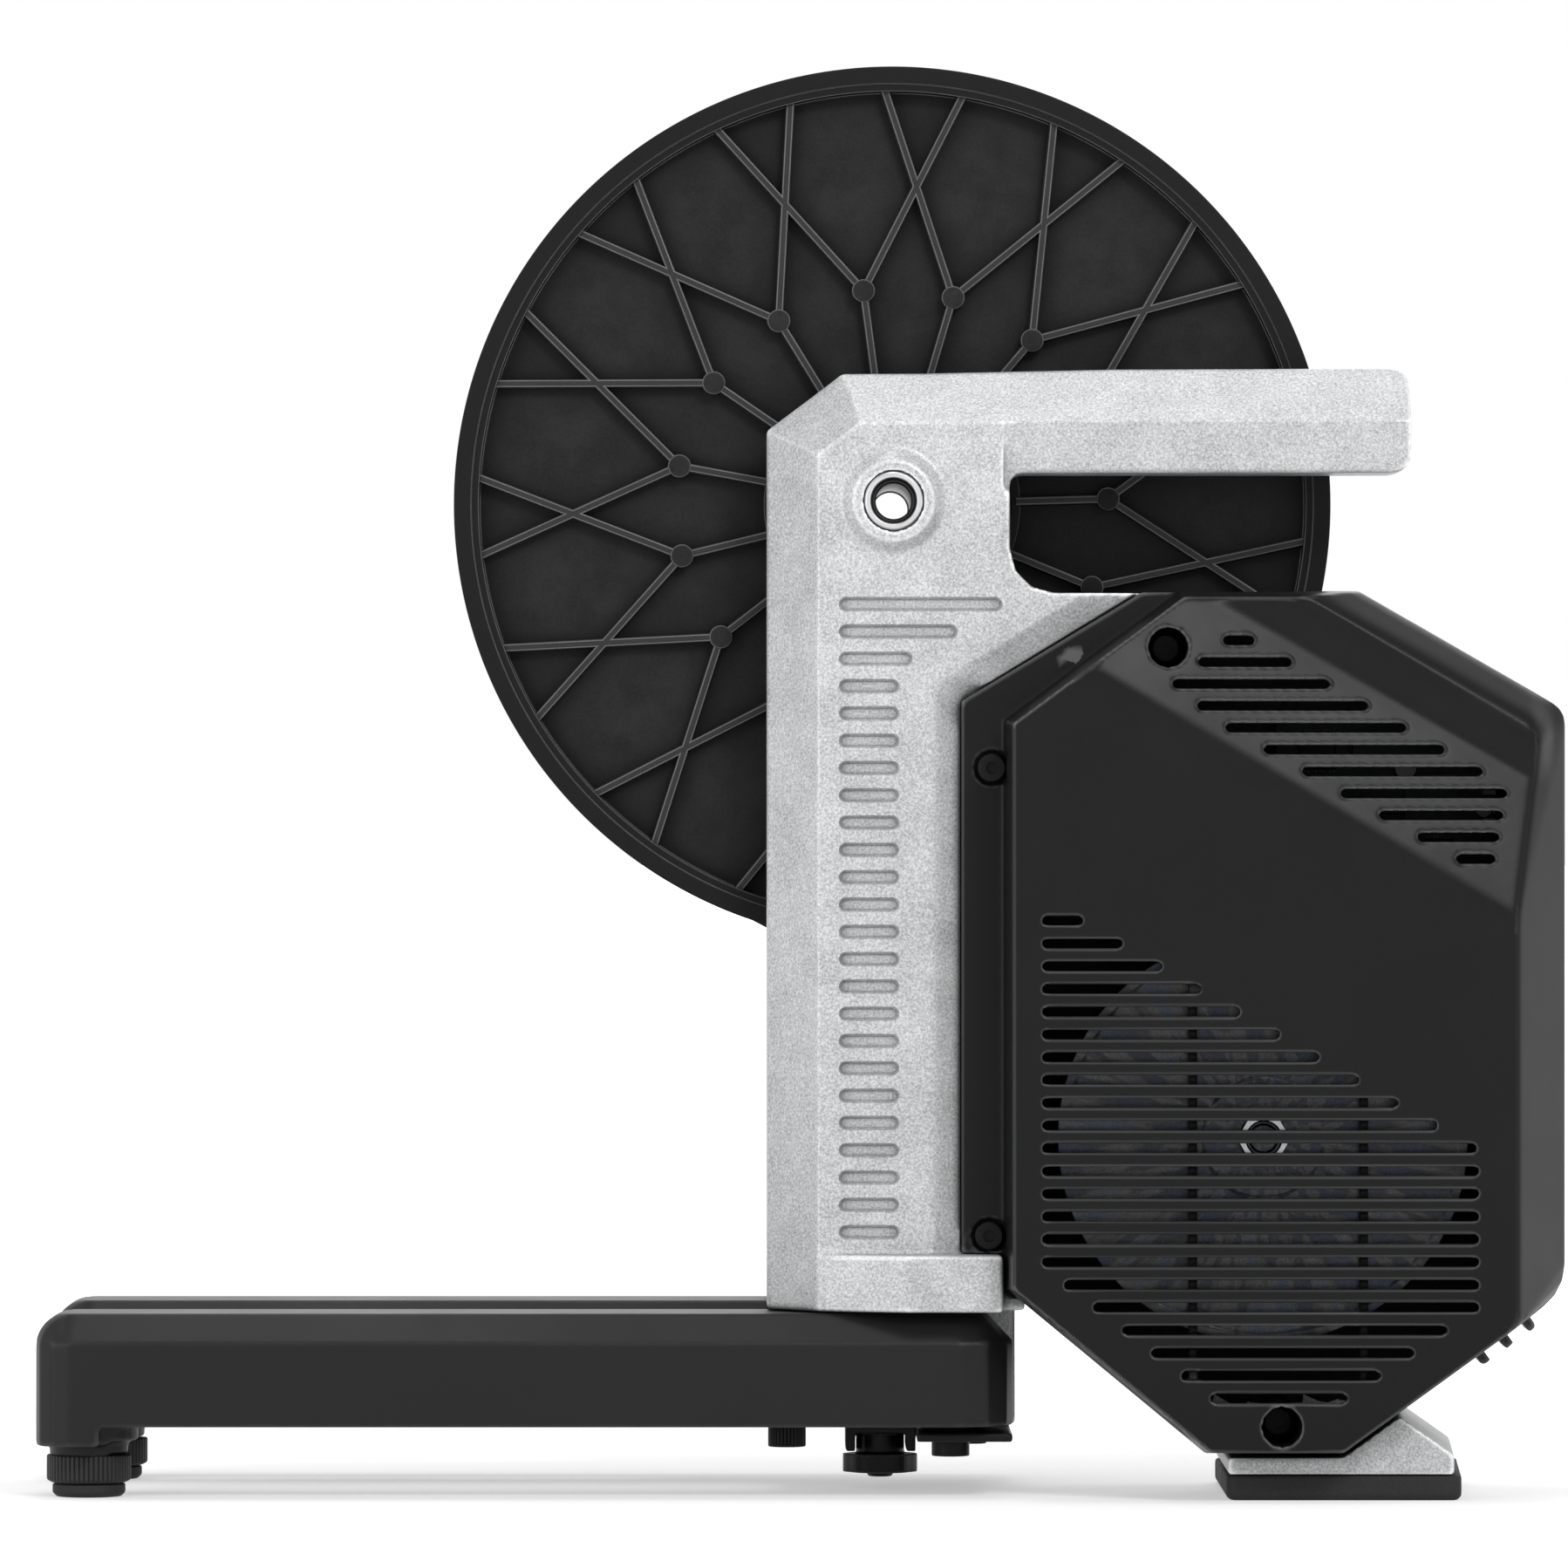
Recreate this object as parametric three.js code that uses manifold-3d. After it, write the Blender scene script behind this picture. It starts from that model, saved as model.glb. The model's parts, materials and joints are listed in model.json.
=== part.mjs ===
// A direct drive bike trainer, with its two legs folded forward under it.
// Millimetres. x runs to the rear of the bike from the axle, y from the near side of the near leg
// to the drive side, and z up from the floor.
import * as THREE from "three";
import { ConvexGeometry } from "three/addons/geometries/ConvexGeometry.js";
import { mergeVertices } from "three/addons/utils/BufferGeometryUtils.js";
import Module from "manifold-3d";

const wasm = await Module();
wasm.setup();

// Fits
const seat = 0.3; // between pieces that touch
const running = 1.2; // beside a piece that turns
const overrun = 6; // how far a cutter passes the face that it cuts
const sunk = 1; // how far a joined shape runs into what carries it

// Sides of a round piece, by its size
const large = 54;
const medium = 28;
const small = 12;
const arcSteps = 3;

// Driving sizes
const axleHeight = 341.3;
const dropoutNear = 5;
const dropoutSpacing = 142;
const dropoutFar = dropoutNear + dropoutSpacing;
const legWidth = 52;
const legSpacing = 100;
const middle = (legSpacing + legWidth) / 2;
const discRadius = 152; // of the large pulley
const crownLead = 7.1; // of the cover's crown, past the large pulley's edge

// Arm, with the handle at its top
const handleRise = 44.7;
const arm = {
  near: 10,
  far: 52,
  front: -43.5,
  wall: 5,
  handleTop: axleHeight + handleRise,
  handleDepth: 35,
  handleReach: 177.2,
  handleRadius: 6,
  cornerRun: 26,
  cornerDrop: 20,
  bevel: 17.7,
  bevelDepth: 20,
  farBevelDepth: 10,
  slope: 10,
  slopeDepth: 4,
  gripLean: 4,
  gapFront: 39.8,
  gapRadius: 15,
  gripRadius: 4,
  bossRadius: 18,
  bossFaceRadius: 13.8,
  bossRise: 4.5,
  tubeRadius: 21,
  ribWidth: 5,
  ribPitch: 54,
};
const handleFloor = arm.handleTop - arm.handleDepth;

// Covers: the near one, the far one, and the outline that both follow
const cover = {
  near: -22,
  far: 95,
  seam: 46,
  wall: 3,
  front: 38.2,
  rear: 229.8,
  bottom: 15.5,
  top: 310.5,
  frontSlopeTop: 72,
  frontSlopeFoot: 106.6,
  rearSlopeFoot: 153.1,
  rearSlopeTop: 71,
  rearSlopeRadius: 18,
  crownFoot: 269.8,
  crownReach: discRadius + crownLead,
  crownRadius: 8,
  browReach: 98,
  browFoot: 266,
  faceMargin: 2,
  rearBevel: 18.2,
  rollDepth: 34,
  foldReach: 66.6,
  foldRear: 199.8,
  facetWidth: 57,
  facetFall: 18,
  crownMargin: 9.6,
  farRoll: 17,
  farMargin: 14,
  ribWidth: 3,
  ribDepth: 6,
};
const ribShares = [0.33, 0.633]; // of the case's width

// A place on the case, from shares of its width and height
const caseReach = (share) => cover.front + share * (cover.rear - cover.front);
const onCase = ([x, z]) => [caseReach(x), cover.bottom + z * (cover.top - cover.bottom)];

// The flange that the near cover is screwed to the arm by, and the arm's seat behind it
const flange = { near: 13.5, far: 17.7, front: 23.2, foot: 83.3, cornerFoot: 68.1, shoulder: 272.9, tip: 85.1 };
const seatWidth = 21.8;
const hornReach = 108;

// The far cover's guard, which runs forward below the belt
const guard = { front: -40, frontFoot: 178, rear: 60, rearFoot: 127, top: 200 };
const beltClearance = 6;

// Slots in the covers and grooves in the arm: the region that they fill, and their rows
const slot = { height: 3.1, pitch: 7.72, facetPitch: 7.43 };
const groove = {
  front: -18.7, rear: 1.9, flare: 43.9, top: 310.1, flareFoot: 284.5, bottom: 87.9,
  pitch: 9.34, height: 4.8, depth: 1.5, first: 4.1,
};
const lowerVent = {
  front: 49.9, top: 206.3, rear: 198.5, rearTop: 120.4, rearFoot: 66.6,
  footRear: 150.6, foot: 33.9, footFront: 109.7, frontFoot: 80.3, first: 8.2,
};
const facetVent = {
  peak: 116.2, top: 296.9, front: 90.9, frontHeight: 275.7,
  rear: 209.1, rearHeight: 243.7, foot: 202.9, footHeight: 211.9, first: 3.6,
};
const farVent = {
  front: 84, rear: 188, top: 112, frontFoot: 58, rearFoot: 68,
  foot: 40, footFront: 112, footRear: 150,
};
const fin = { width: 3.5, reach: 9.6, near: 60, far: 84 };
const finShares = [0.851, 0.893, 0.935];

// Base block, leg hinge and rear foot
const base = {
  bottom: 64, top: 83.5, rear: 37.4, shoulder: 4.4, edge: -26, farCorner: 14,
  gussetWidth: 6, gussetRise: 55, gussetReach: 84,
};
const gussetShares = [0.167, 0.81]; // of the base's width
const pillar = { front: -17.5, rear: 42.5, halfWidth: 16 };
const bracket = { top: 22.5, thickness: 3, front: 8, rear: 40.7, side: 8, channelFoot: 13.3, channelWall: 3.5 };
const bracketScrew = { reach: 28, spacing: 18, length: 12 };
const rearFoot = {
  front: 114, rear: 191.2, near: 0, far: 105, flare: 4.5, bottom: 8.9, lip: 15.5,
  crest: 171.3, crestHeight: 29.5, gap: 0.8, lugFront: 122, lugRear: 160, lugTop: 45,
};
const rearPad = { front: 113.4, rear: 193.7, margin: 1.4, height: 8.6, radius: 4 };
const web = { near: 44, margin: 2.5 };

// Screws, by their thread
const m5 = { radius: 2.4, hole: 2.7, head: 4.8, headHeight: 3.5, key: 2.3, length: 15 };
const m8 = { radius: 4, hole: 4.3, head: 6.5, key: 3, teeth: 24, tooth: 0.4 };
const cup = { radius: 8.2, bore: 6.9, floor: 2.5, shallow: 6.2 };
const post = { radius: 7 };
const faceShares = [[0.2865, 0.9336], [0.487, 0.0366]];
const flangeShares = [[-0.024, 0.795], [-0.0287, 0.2519]];
const farShares = [[0.145, 0.2525], [0.876, 0.2593], [0.8236, 0.822]];
const facePlaces = faceShares.map(onCase);
const flangePlaces = flangeShares.map(onCase);
const farPlaces = farShares.map(onCase);
const farCupDepth = 8;

// Legs, measured from the pivot
const leg = {
  pivot: 19.7, front: -313.2, rear: 21.3, bottom: 24.9, top: 63.5, bevel: 9.8, tipBottom: 19.3, tipLength: 22,
  tipRadius: 12, heelRadius: 18, wall: 5, pocketFront: -276, pocketRear: -82, pocketTop: 52,
  pivotBoss: 12, stop: -56.2, stopHead: 7.6, stopDepth: 28, foot: -295.9, footBoss: 17,
};
const pivotScrew = { headHeight: 5.4, depth: 12 };
const levelling = {
  wheel: 14.5, wheelBottom: 4.7, wheelTop: 14.4, collar: 13.5, collarBottom: 14.9,
  teeth: 36, tooth: 0.6, stud: 5, studTop: 44, holeTop: 56, pad: 12.5, padTop: 4.4, padWaist: 11, padEdge: 3,
};
const knob = {
  reach: -4.1, radius: 13, lobes: 6, lobe: 0.9, bottom: 5.4, top: 11.8, tip: 3.7, tipRadius: 4,
  neck: 8.4, neckTop: 19.1, stud: 4, studTop: 48,
};

// Axle, hub and freehub: radii, and depths from the near side
const axle = { radius: 10, bore: 6.6, capBore: 6.1, mouth: 7.7, mouthDepth: 6, capLength: 12, collar: 14 };
const bearing = { radius: 18.5, width: 9 };
const hub = { near: 56.5, far: 98, radius: 24, neck: 16, flange: 40, flangeNear: 83, flangeWidth: 5, inset: 0.5 };
const freehub = {
  near: 99, far: 136, shoulder: 19, shoulderWidth: 3, radius: 17.3, valley: 15.8, splines: 9,
  bearing: 14, bearingWidth: 6,
};
const splineShares = [[0, 0], [0.1, 1], [0.55, 1], [0.65, 0]];
const capFarRadius = 12;

// Large pulley
const pulley = {
  radius: discRadius, near: 62, width: 20, rimWidth: 8.7, ledgeWidth: 6, ledgeDepth: 1,
  flange: 2.4, grooveDepth: 4.5,
  webNear: 70.5, webWidth: 3, disc: 40, discNear: 70, ringInner: 41.5, ringOuter: 44.5,
  ribInset: 3, ribWidth: 3, spokes: 15, nodeCircle: 75, node: 4, ribSwing: 17.5, turn: 1.6,
};
const pulleyRim = pulley.radius - pulley.rimWidth;
const pulleyLedge = pulley.radius - pulley.ledgeWidth;
const pulleyFloor = pulley.radius - pulley.grooveDepth;
const pulleyBolt = { circle: 32, count: 5, head: 4.4 };

// Flywheel, brake and belt
const flywheel = {
  reach: 125.5, height: 124, radius: 70, rim: 48, near: -10, far: 30, web: 10, hub: 14, hubFar: 7,
  grooveCircle: 62, groove: 1,
};
const shaft = { radius: 7.5, thread: 6, near: -15, far: 86 };
const nut = { radius: 9, near: -16.8 };
const housing = { radius: 24, near: 10, far: 60, ledge: 14, inset: 2 };
const flywheelBearing = { radius: 17.5, width: 11 };
const core = { yoke: 31, tip: 46, near: 12, width: 14, poles: 6, poleWidth: 14 };
const coil = { inner: 32, outer: 42, thickness: 4 };
const belt = { thickness: 2.4, side: 0.5, bigSteps: 42, littleSteps: 12 };
const smallPulley = { radius: 12.7, flange: 17 };
const idler = { radius: 16, stud: 5 };
const idlerShare = 0.75; // how far the idler sits along the slack run
const tensioner = { halfWidth: 8, thickness: 3.7, boltReach: 30, boltDrop: 24 };

// Electronics
const board = { front: 132, rear: 208, bottom: 212, top: 268, near: 34, thickness: 1.6, post: 3, inset: 6 };
// On the board: reaches and widths are shares of its width, and the others of its height.
const chipShares = [
  { reach: 0.184, rise: 0.214, width: 0.263, height: 0.286, depth: 0.125 },
  { reach: 0.579, rise: 0.321, width: 0.237, height: 0.321, depth: 0.071 },
  { reach: 0.342, rise: 0.714, width: 0.447, height: 0.161, depth: 0.161 },
];
const socket = { height: 100, depth: 70, width: 14, length: 16, bore: 3.2, pin: 1, boreDepth: 11 };

// Materials

const finish = (color, roughness, metalness = 0) =>
  new THREE.MeshStandardMaterial({ color, roughness, metalness });

const silver = finish(0xb9babc, 0.45, 0.6);
const black = finish(0x1d1d1e, 0.5);
const blackPaint = finish(0x232324, 0.45);
const discPlastic = finish(0x19191a, 0.6);
const rubber = finish(0x161616, 0.85);
const steel = finish(0x8d8f92, 0.35, 1);
const darkSteel = finish(0x2b2c2e, 0.4, 0.8);
const copper = finish(0xa35a2c, 0.4, 1);
const green = finish(0x1d4a2c, 0.6);

// Outlines

const point = (x, y) => new THREE.Vector2(x, y);

// Corners are [x, y] or [x, y, radius]: those with a radius become arcs.
function outline(corners) {
  return corners.flatMap(([x, y, radius = 0], i) => {
    const corner = point(x, y);
    if (!radius) return [corner];
    const toLast = point(...corners.at(i - 1)).sub(corner).normalize();
    const toNext = point(...corners[(i + 1) % corners.length]).sub(corner).normalize();
    const half = Math.acos(toLast.dot(toNext)) / 2;
    const centre = toLast.clone().add(toNext).setLength(radius / Math.sin(half)).add(corner);
    const start = toLast.clone().multiplyScalar(radius / Math.tan(half)).add(corner);
    const turn = Math.sign(toNext.cross(toLast)) * (Math.PI - 2 * half);
    return Array.from({ length: arcSteps + 1 }, (_, k) =>
      start.clone().rotateAround(centre, (turn * k) / arcSteps),
    );
  });
}

const rectangle = (left, right, low, high) =>
  outline([[left, low], [right, low], [right, high], [left, high]]);

// The same outline, counterclockwise, with each side moved inwards.
function inset(points, distance) {
  return points.map((corner, i) => {
    const before = corner.clone().sub(points.at(i - 1)).normalize();
    const after = points[(i + 1) % points.length].clone().sub(corner).normalize();
    const inward = point(-before.y - after.y, before.x + after.x);
    return inward.multiplyScalar(distance / (1 + before.dot(after))).add(corner);
  });
}

// The point at a given x on the line through two points.
const onLine = (from, to, x) => from.clone().lerp(to, (x - from.x) / (to.x - from.x));

// A bar of a given width between two points.
function bar(from, to, width) {
  const side = to.clone().sub(from).setLength(width / 2);
  const left = point(-side.y, side.x);
  return [
    from.clone().sub(left),
    to.clone().sub(left),
    to.clone().add(left),
    from.clone().add(left),
  ];
}

function arc(centre, radius, from, to, steps) {
  return Array.from({ length: steps + 1 }, (_, k) => {
    const angle = from + ((to - from) * k) / steps;
    return point(Math.cos(angle), Math.sin(angle)).multiplyScalar(radius).add(centre);
  });
}

// A bar with round ends.
function capsule(from, to, radius) {
  const facing = to.clone().sub(from).angle();
  const quarter = Math.PI / 2;
  return [
    ...arc(to, radius, facing - quarter, facing + quarter, arcSteps),
    ...arc(from, radius, facing + quarter, facing + 3 * quarter, arcSteps),
  ];
}

// A circle whose edge dips a number of times, as a knurled or lobed edge does.
function waved(radius, dip, count, stepsEach) {
  return Array.from({ length: count * stepsEach }, (_, i) => {
    const angle = (2 * Math.PI * i) / (count * stepsEach);
    const reach = radius - (dip * (1 - Math.cos(count * angle))) / 2;
    return point(Math.cos(angle), Math.sin(angle)).multiplyScalar(reach);
  });
}

// Solids

function solid(geometry) {
  geometry.deleteAttribute("normal");
  geometry.deleteAttribute("uv");
  const { index, attributes } = mergeVertices(geometry);
  return new wasm.Manifold(
    new wasm.Mesh({
      numProp: 3,
      vertProperties: attributes.position.array,
      triVerts: new Uint32Array(index.array),
    }),
  );
}

const join = (first, ...others) => others.reduce((all, one) => all.add(one), first);
const cut = (first, ...others) => others.reduce((all, one) => all.subtract(one), first);

const extruded = (points, depth) =>
  new THREE.ExtrudeGeometry(new THREE.Shape(points), { depth, bevelEnabled: false });

// An outline in x and z, carried from one depth to another.
const across = (points, near, far) =>
  solid(extruded(points, far - near).rotateX(Math.PI / 2).translate(0, far, 0));

// An outline in x and y, carried from one height to another.
const upward = (points, bottom, top) =>
  solid(extruded(points, top - bottom).translate(0, 0, bottom));

const box = (left, right, near, far, bottom, top) =>
  upward(rectangle(left, right, near, far), bottom, top);

const lathe = (profile, sides) =>
  new THREE.LatheGeometry(profile.map(([radius, along]) => point(radius, along)), sides);

// Profiles of [radius, distance along the axis], turned about a level or an upright axis.
const turned = (profile, sides) => solid(lathe(profile, sides));
const stood = (profile, sides) => solid(lathe(profile, sides).rotateX(Math.PI / 2));

const rodProfile = (radius, from, to) => [[0, from], [radius, from], [radius, to], [0, to]];
const ringProfile = (inner, outer, from, to) =>
  [[inner, from], [outer, from], [outer, to], [inner, to], [inner, from]];

const rod = (radius, near, far, sides = small) => turned(rodProfile(radius, near, far), sides);
const ring = (inner, outer, near, far, sides = medium) =>
  turned(ringProfile(inner, outer, near, far), sides);
const peg = (radius, bottom, top, sides = small) => stood(rodProfile(radius, bottom, top), sides);

// A rod across the part, or a peg up it, away from the origin.
const rodAt = ([x, z], radius, near, far, sides = small) =>
  solid(lathe(rodProfile(radius, near, far), sides).translate(x, 0, z));
const pegAt = ([x, y], radius, bottom, top, sides = small) =>
  solid(lathe(rodProfile(radius, bottom, top), sides).rotateX(Math.PI / 2).translate(x, y, 0));

const hull = (points) => solid(new ConvexGeometry(points));
const atDepth = (points, depth) => points.map(({ x, y }) => new THREE.Vector3(x, depth, y));
const atHeight = (points, height) => points.map(({ x, y }) => new THREE.Vector3(x, y, height));

// A wedge that bevels an edge of a plate: from and to lie on the edge with the plate on their left.
function bevelCutter(from, to, width, face, depth) {
  const along = to.clone().sub(from).setLength(overrun);
  const inward = point(-along.y, along.x).normalize();
  const slope = depth / width;
  const outer = -overrun;
  const inner = width + overrun;
  const front = face - slope * overrun;
  const places = [[outer, face + slope * (width + overrun)], [inner, front], [outer, front]];
  return hull(
    places.flatMap(([away, y]) => [
      ...atDepth([from.clone().sub(along).addScaledVector(inward, away)], y),
      ...atDepth([to.clone().add(along).addScaledVector(inward, away)], y),
    ]),
  );
}

function piece(name, made, material) {
  const { vertProperties, triVerts } = made.getMesh();
  const geometry = new THREE.BufferGeometry();
  geometry.setAttribute("position", new THREE.BufferAttribute(vertProperties, 3));
  geometry.setIndex(new THREE.BufferAttribute(triVerts, 1));
  geometry.computeVertexNormals();
  const mesh = new THREE.Mesh(geometry, material);
  mesh.name = name;
  return mesh;
}

function group(place, ...children) {
  const made = new THREE.Group();
  made.position.set(...place);
  return made.add(...children);
}

// Rows of slots that fill a region, from its top down.
function slotRows(region, first, pitch, height, near, far) {
  const levels = region.map((corner) => corner.y);
  const lowest = Math.min(...levels) + height / 2;
  const rows = [];
  for (let level = Math.max(...levels) - first; level > lowest; level -= pitch) {
    const [left, right] = region
      .map((corner, i) => [corner, region[(i + 1) % region.length]])
      .filter(([a, b]) => a.y > level !== b.y > level)
      .map(([a, b]) => a.x + ((b.x - a.x) * (level - a.y)) / (b.y - a.y))
      .sort((a, b) => a - b);
    const ends = [point(left + height / 2, level), point(right - height / 2, level)];
    rows.push(across(capsule(...ends, height / 2), near, far));
  }
  return rows;
}

// The outline of the case, which both covers follow

const caseCorners = outline([
  [cover.front, cover.frontSlopeTop],
  [cover.frontSlopeFoot, cover.bottom],
  [cover.rearSlopeFoot, cover.bottom],
  [cover.rear, cover.rearSlopeTop],
  [cover.rear, cover.crownFoot],
  [cover.crownReach, cover.top],
  [cover.browReach, cover.top - seat],
  [cover.front, cover.browFoot],
]);

function caseOutline(skin) {
  const radii = [0, 0, 0, cover.rearSlopeRadius, cover.crownRadius, 0, 0, 0];
  return outline(inset(caseCorners, skin).map(({ x, y }, i) => [x, y, radii[i]]));
}

// The arm's outline. Behind the flange it follows the flange's edge, a seat's width in.
function armCorners() {
  const flangeSide = inset(
    outline([
      [flange.front, base.bottom],
      [cover.rear, base.bottom],
      [cover.rear, cover.top],
      [flange.tip, cover.top],
      [flange.front, flange.shoulder],
    ]),
    seatWidth,
  );
  const [brow, shoulder] = flangeSide.slice(-2);
  const horn = onLine(shoulder, brow, hornReach);
  const gapFloor = cover.top - 2 * seat;
  return [
    [arm.front, base.bottom],
    [shoulder.x, base.bottom],
    [shoulder.x, shoulder.y],
    [horn.x, horn.y],
    [hornReach, gapFloor],
    [arm.gapFront, gapFloor, arm.gapRadius],
    [arm.gapFront, handleFloor, arm.gripRadius],
    [arm.handleReach, handleFloor, arm.handleRadius],
    [arm.handleReach, arm.handleTop, arm.handleRadius],
    [arm.front + arm.cornerRun, arm.handleTop],
    [arm.front, arm.handleTop - arm.cornerDrop],
  ];
}

const armOutline = outline(armCorners());
const armSpace = (near, far) => across(inset(armOutline, -seat), near, far);

// Frame casting

const flangeSeat = flange.far + seat;

// Where the cover's flange lies in the arm's near face, which slopes down to it.
function flangeRecess() {
  const edge = [
    point(flange.front, base.bottom),
    point(flange.front, flange.shoulder),
    point(flange.tip, cover.top),
  ];
  const reach = hornReach + overrun;
  const region = [edge[0], point(reach, base.bottom), point(reach, cover.top), edge[2], edge[1]];
  return [
    across(inset(region, -seat), arm.near - overrun, flangeSeat),
    bevelCutter(edge[0], edge[1], arm.slope, arm.near, arm.slopeDepth),
    bevelCutter(edge[1], edge[2], arm.slope, arm.near, arm.slopeDepth),
  ];
}

function armBlank() {
  const edges = [
    [point(arm.front, arm.handleTop - arm.cornerDrop), point(arm.front, base.bottom)],
    [point(arm.front + arm.cornerRun, arm.handleTop), point(arm.front, arm.handleTop - arm.cornerDrop)],
    [point(arm.handleReach, arm.handleTop), point(arm.front + arm.cornerRun, arm.handleTop)],
  ];
  const grip = [point(arm.gapFront + arm.gripRadius, handleFloor), point(arm.handleReach, handleFloor)];
  return cut(
    across(armOutline, arm.near, arm.far),
    ...edges.map((edge) => bevelCutter(...edge, arm.bevel, arm.near, arm.bevelDepth)),
    bevelCutter(...edges[2], arm.bevel, arm.far, -arm.farBevelDepth),
    bevelCutter(...grip, arm.handleDepth - arm.bevel, arm.near, arm.gripLean),
    ...flangeRecess(),
  );
}

// The arm is hollow from its far side, deeper where its near face isn't bevelled.
function armHollows() {
  const right = flange.front + seatWidth - arm.wall;
  const column = (left, top) => [
    [left, base.top + arm.wall],
    [right, base.top + arm.wall],
    [right, flange.shoulder - seatWidth],
    [arm.gapFront - arm.wall, cover.top - seatWidth - arm.gapRadius],
    [arm.gapFront - arm.wall, top],
    [left, top],
  ];
  const deepTop = handleFloor;
  return [
    across(outline(column(arm.front + arm.bevel, deepTop)), flangeSeat + arm.wall, arm.far + overrun),
    across(
      outline(column(arm.front + arm.wall, arm.handleTop - arm.cornerDrop - arm.wall)),
      arm.near + arm.bevelDepth + arm.wall,
      arm.far + overrun,
    ),
  ];
}

function armRibs() {
  const ribs = [];
  const left = arm.front + arm.wall / 2;
  const right = flange.front + seatWidth - arm.wall / 2;
  for (let z = base.top + arm.ribPitch; z < axleHeight - arm.tubeRadius * 2; z += arm.ribPitch) {
    const rib = box(left, right, flangeSeat + arm.wall / 2, arm.far - arm.wall, z, z + arm.ribWidth);
    ribs.push(rib.intersect(armBlank()));
  }
  return ribs;
}

function axleBoss() {
  const face = arm.near - arm.bossRise;
  const inside = arm.near + arm.wall / 2;
  const profile = [
    [0, face],
    [arm.bossFaceRadius, face],
    [arm.bossRadius, arm.near],
    [arm.bossRadius, inside],
    [0, inside],
  ];
  return solid(lathe(profile, medium).translate(0, 0, axleHeight));
}

const grooveRegion = outline([
  [groove.front, groove.bottom],
  [groove.rear, groove.bottom],
  [groove.rear, groove.flareFoot],
  [groove.flare, groove.top],
  [groove.front, groove.top],
]);

function baseBlock() {
  const side = arm.near + arm.bevelDepth;
  const far = legSpacing + legWidth;
  const plan = outline([
    [base.shoulder, 0],
    [base.rear, 0],
    [base.rear, far],
    [arm.front + base.farCorner, far],
    [arm.front, far - base.farCorner],
    [arm.front, side],
    [base.edge, arm.near],
  ]);
  return upward(plan, base.bottom, base.top);
}

function gusset(share) {
  const x = arm.front + share * (base.rear - arm.front);
  const foot = base.top - arm.wall;
  const start = arm.far - arm.wall / 2;
  const triangle = [
    [start, foot],
    [arm.far + base.gussetReach, foot],
    [arm.far + base.gussetReach, base.top],
    [start, base.top + base.gussetRise],
  ];
  const half = base.gussetWidth / 2;
  return hull(
    triangle.flatMap(([y, z]) => [new THREE.Vector3(x - half, y, z), new THREE.Vector3(x + half, y, z)]),
  );
}

const hingePillar = () =>
  box(
    pillar.front,
    pillar.rear,
    middle - pillar.halfWidth,
    middle + pillar.halfWidth,
    bracket.top + seat,
    base.bottom + sunk,
  );

function rearFootBlock() {
  const face = (flare) =>
    outline([
      [rearFoot.front, rearFoot.bottom],
      [rearFoot.rear + flare, rearFoot.bottom],
      [rearFoot.rear + flare, rearFoot.lip],
      [rearFoot.crest + flare, rearFoot.crestHeight],
      [rearFoot.front, rearFoot.crestHeight],
    ]);
  const block = hull([
    ...atDepth(face(0), rearFoot.near),
    ...atDepth(face(rearFoot.flare), rearFoot.far),
  ]);
  const room = across(
    inset(caseOutline(0), -rearFoot.gap),
    rearFoot.near - overrun,
    rearFoot.far + overrun,
  );
  const lug = box(
    rearFoot.lugFront,
    rearFoot.lugRear,
    web.near,
    arm.far,
    (rearFoot.bottom + cover.bottom) / 2,
    rearFoot.lugTop,
  );
  return join(cut(block, room), lug);
}

function innerWeb() {
  const plate = across(inset(caseCorners, cover.wall + web.margin), web.near, arm.far);
  const strip = box(
    arm.gapFront - arm.wall / 2,
    cover.front + seatWidth,
    web.near,
    arm.far,
    base.top,
    flange.shoulder - seatWidth,
  );
  return join(plate, strip, ...bearingPosts(), housingTube());
}

function bearingPosts() {
  const near = [...facePlaces, ...flangePlaces].map((at) => rodAt(at, post.radius, flangeSeat, arm.far));
  const far = farPlaces.map((at) =>
    rodAt(at, post.radius, arm.far - sunk, farCupFloor - cup.floor - seat),
  );
  const boardPosts = boardCorners.map((at) => rodAt(at, board.post, boardFar + seat, web.near + sunk));
  return [...near, ...far, ...boardPosts];
}

const farCupFloor = cover.far - farCupDepth;
const flywheelPlace = [flywheel.reach, flywheel.height];
const bearingBore = flywheelBearing.radius + seat;
const nearBearingEnd = housing.near + housing.inset + flywheelBearing.width;
const farBearingStart = housing.far - housing.inset - flywheelBearing.width;

const housingTube = () => rodAt(flywheelPlace, housing.radius, housing.near, housing.far, medium);

const housingBores = () => [
  rodAt(flywheelPlace, bearingBore, housing.near - overrun, nearBearingEnd + seat, medium),
  rodAt(flywheelPlace, housing.ledge, housing.near - overrun, housing.far + overrun, medium),
  rodAt(flywheelPlace, bearingBore, farBearingStart - seat, housing.far + overrun, medium),
];

const boardFar = board.near + board.thickness;
const boardCorners = [board.front + board.inset, board.rear - board.inset].flatMap((x) =>
  [board.bottom + board.inset, board.top - board.inset].map((z) => [x, z]),
);

const legPlaces = [legWidth / 2, legSpacing + legWidth / 2];
const bracketScrewPlaces = [-1, 1].map((side) => [
  bracketScrew.reach,
  middle + (side * bracketScrew.spacing) / 2,
]);

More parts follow.
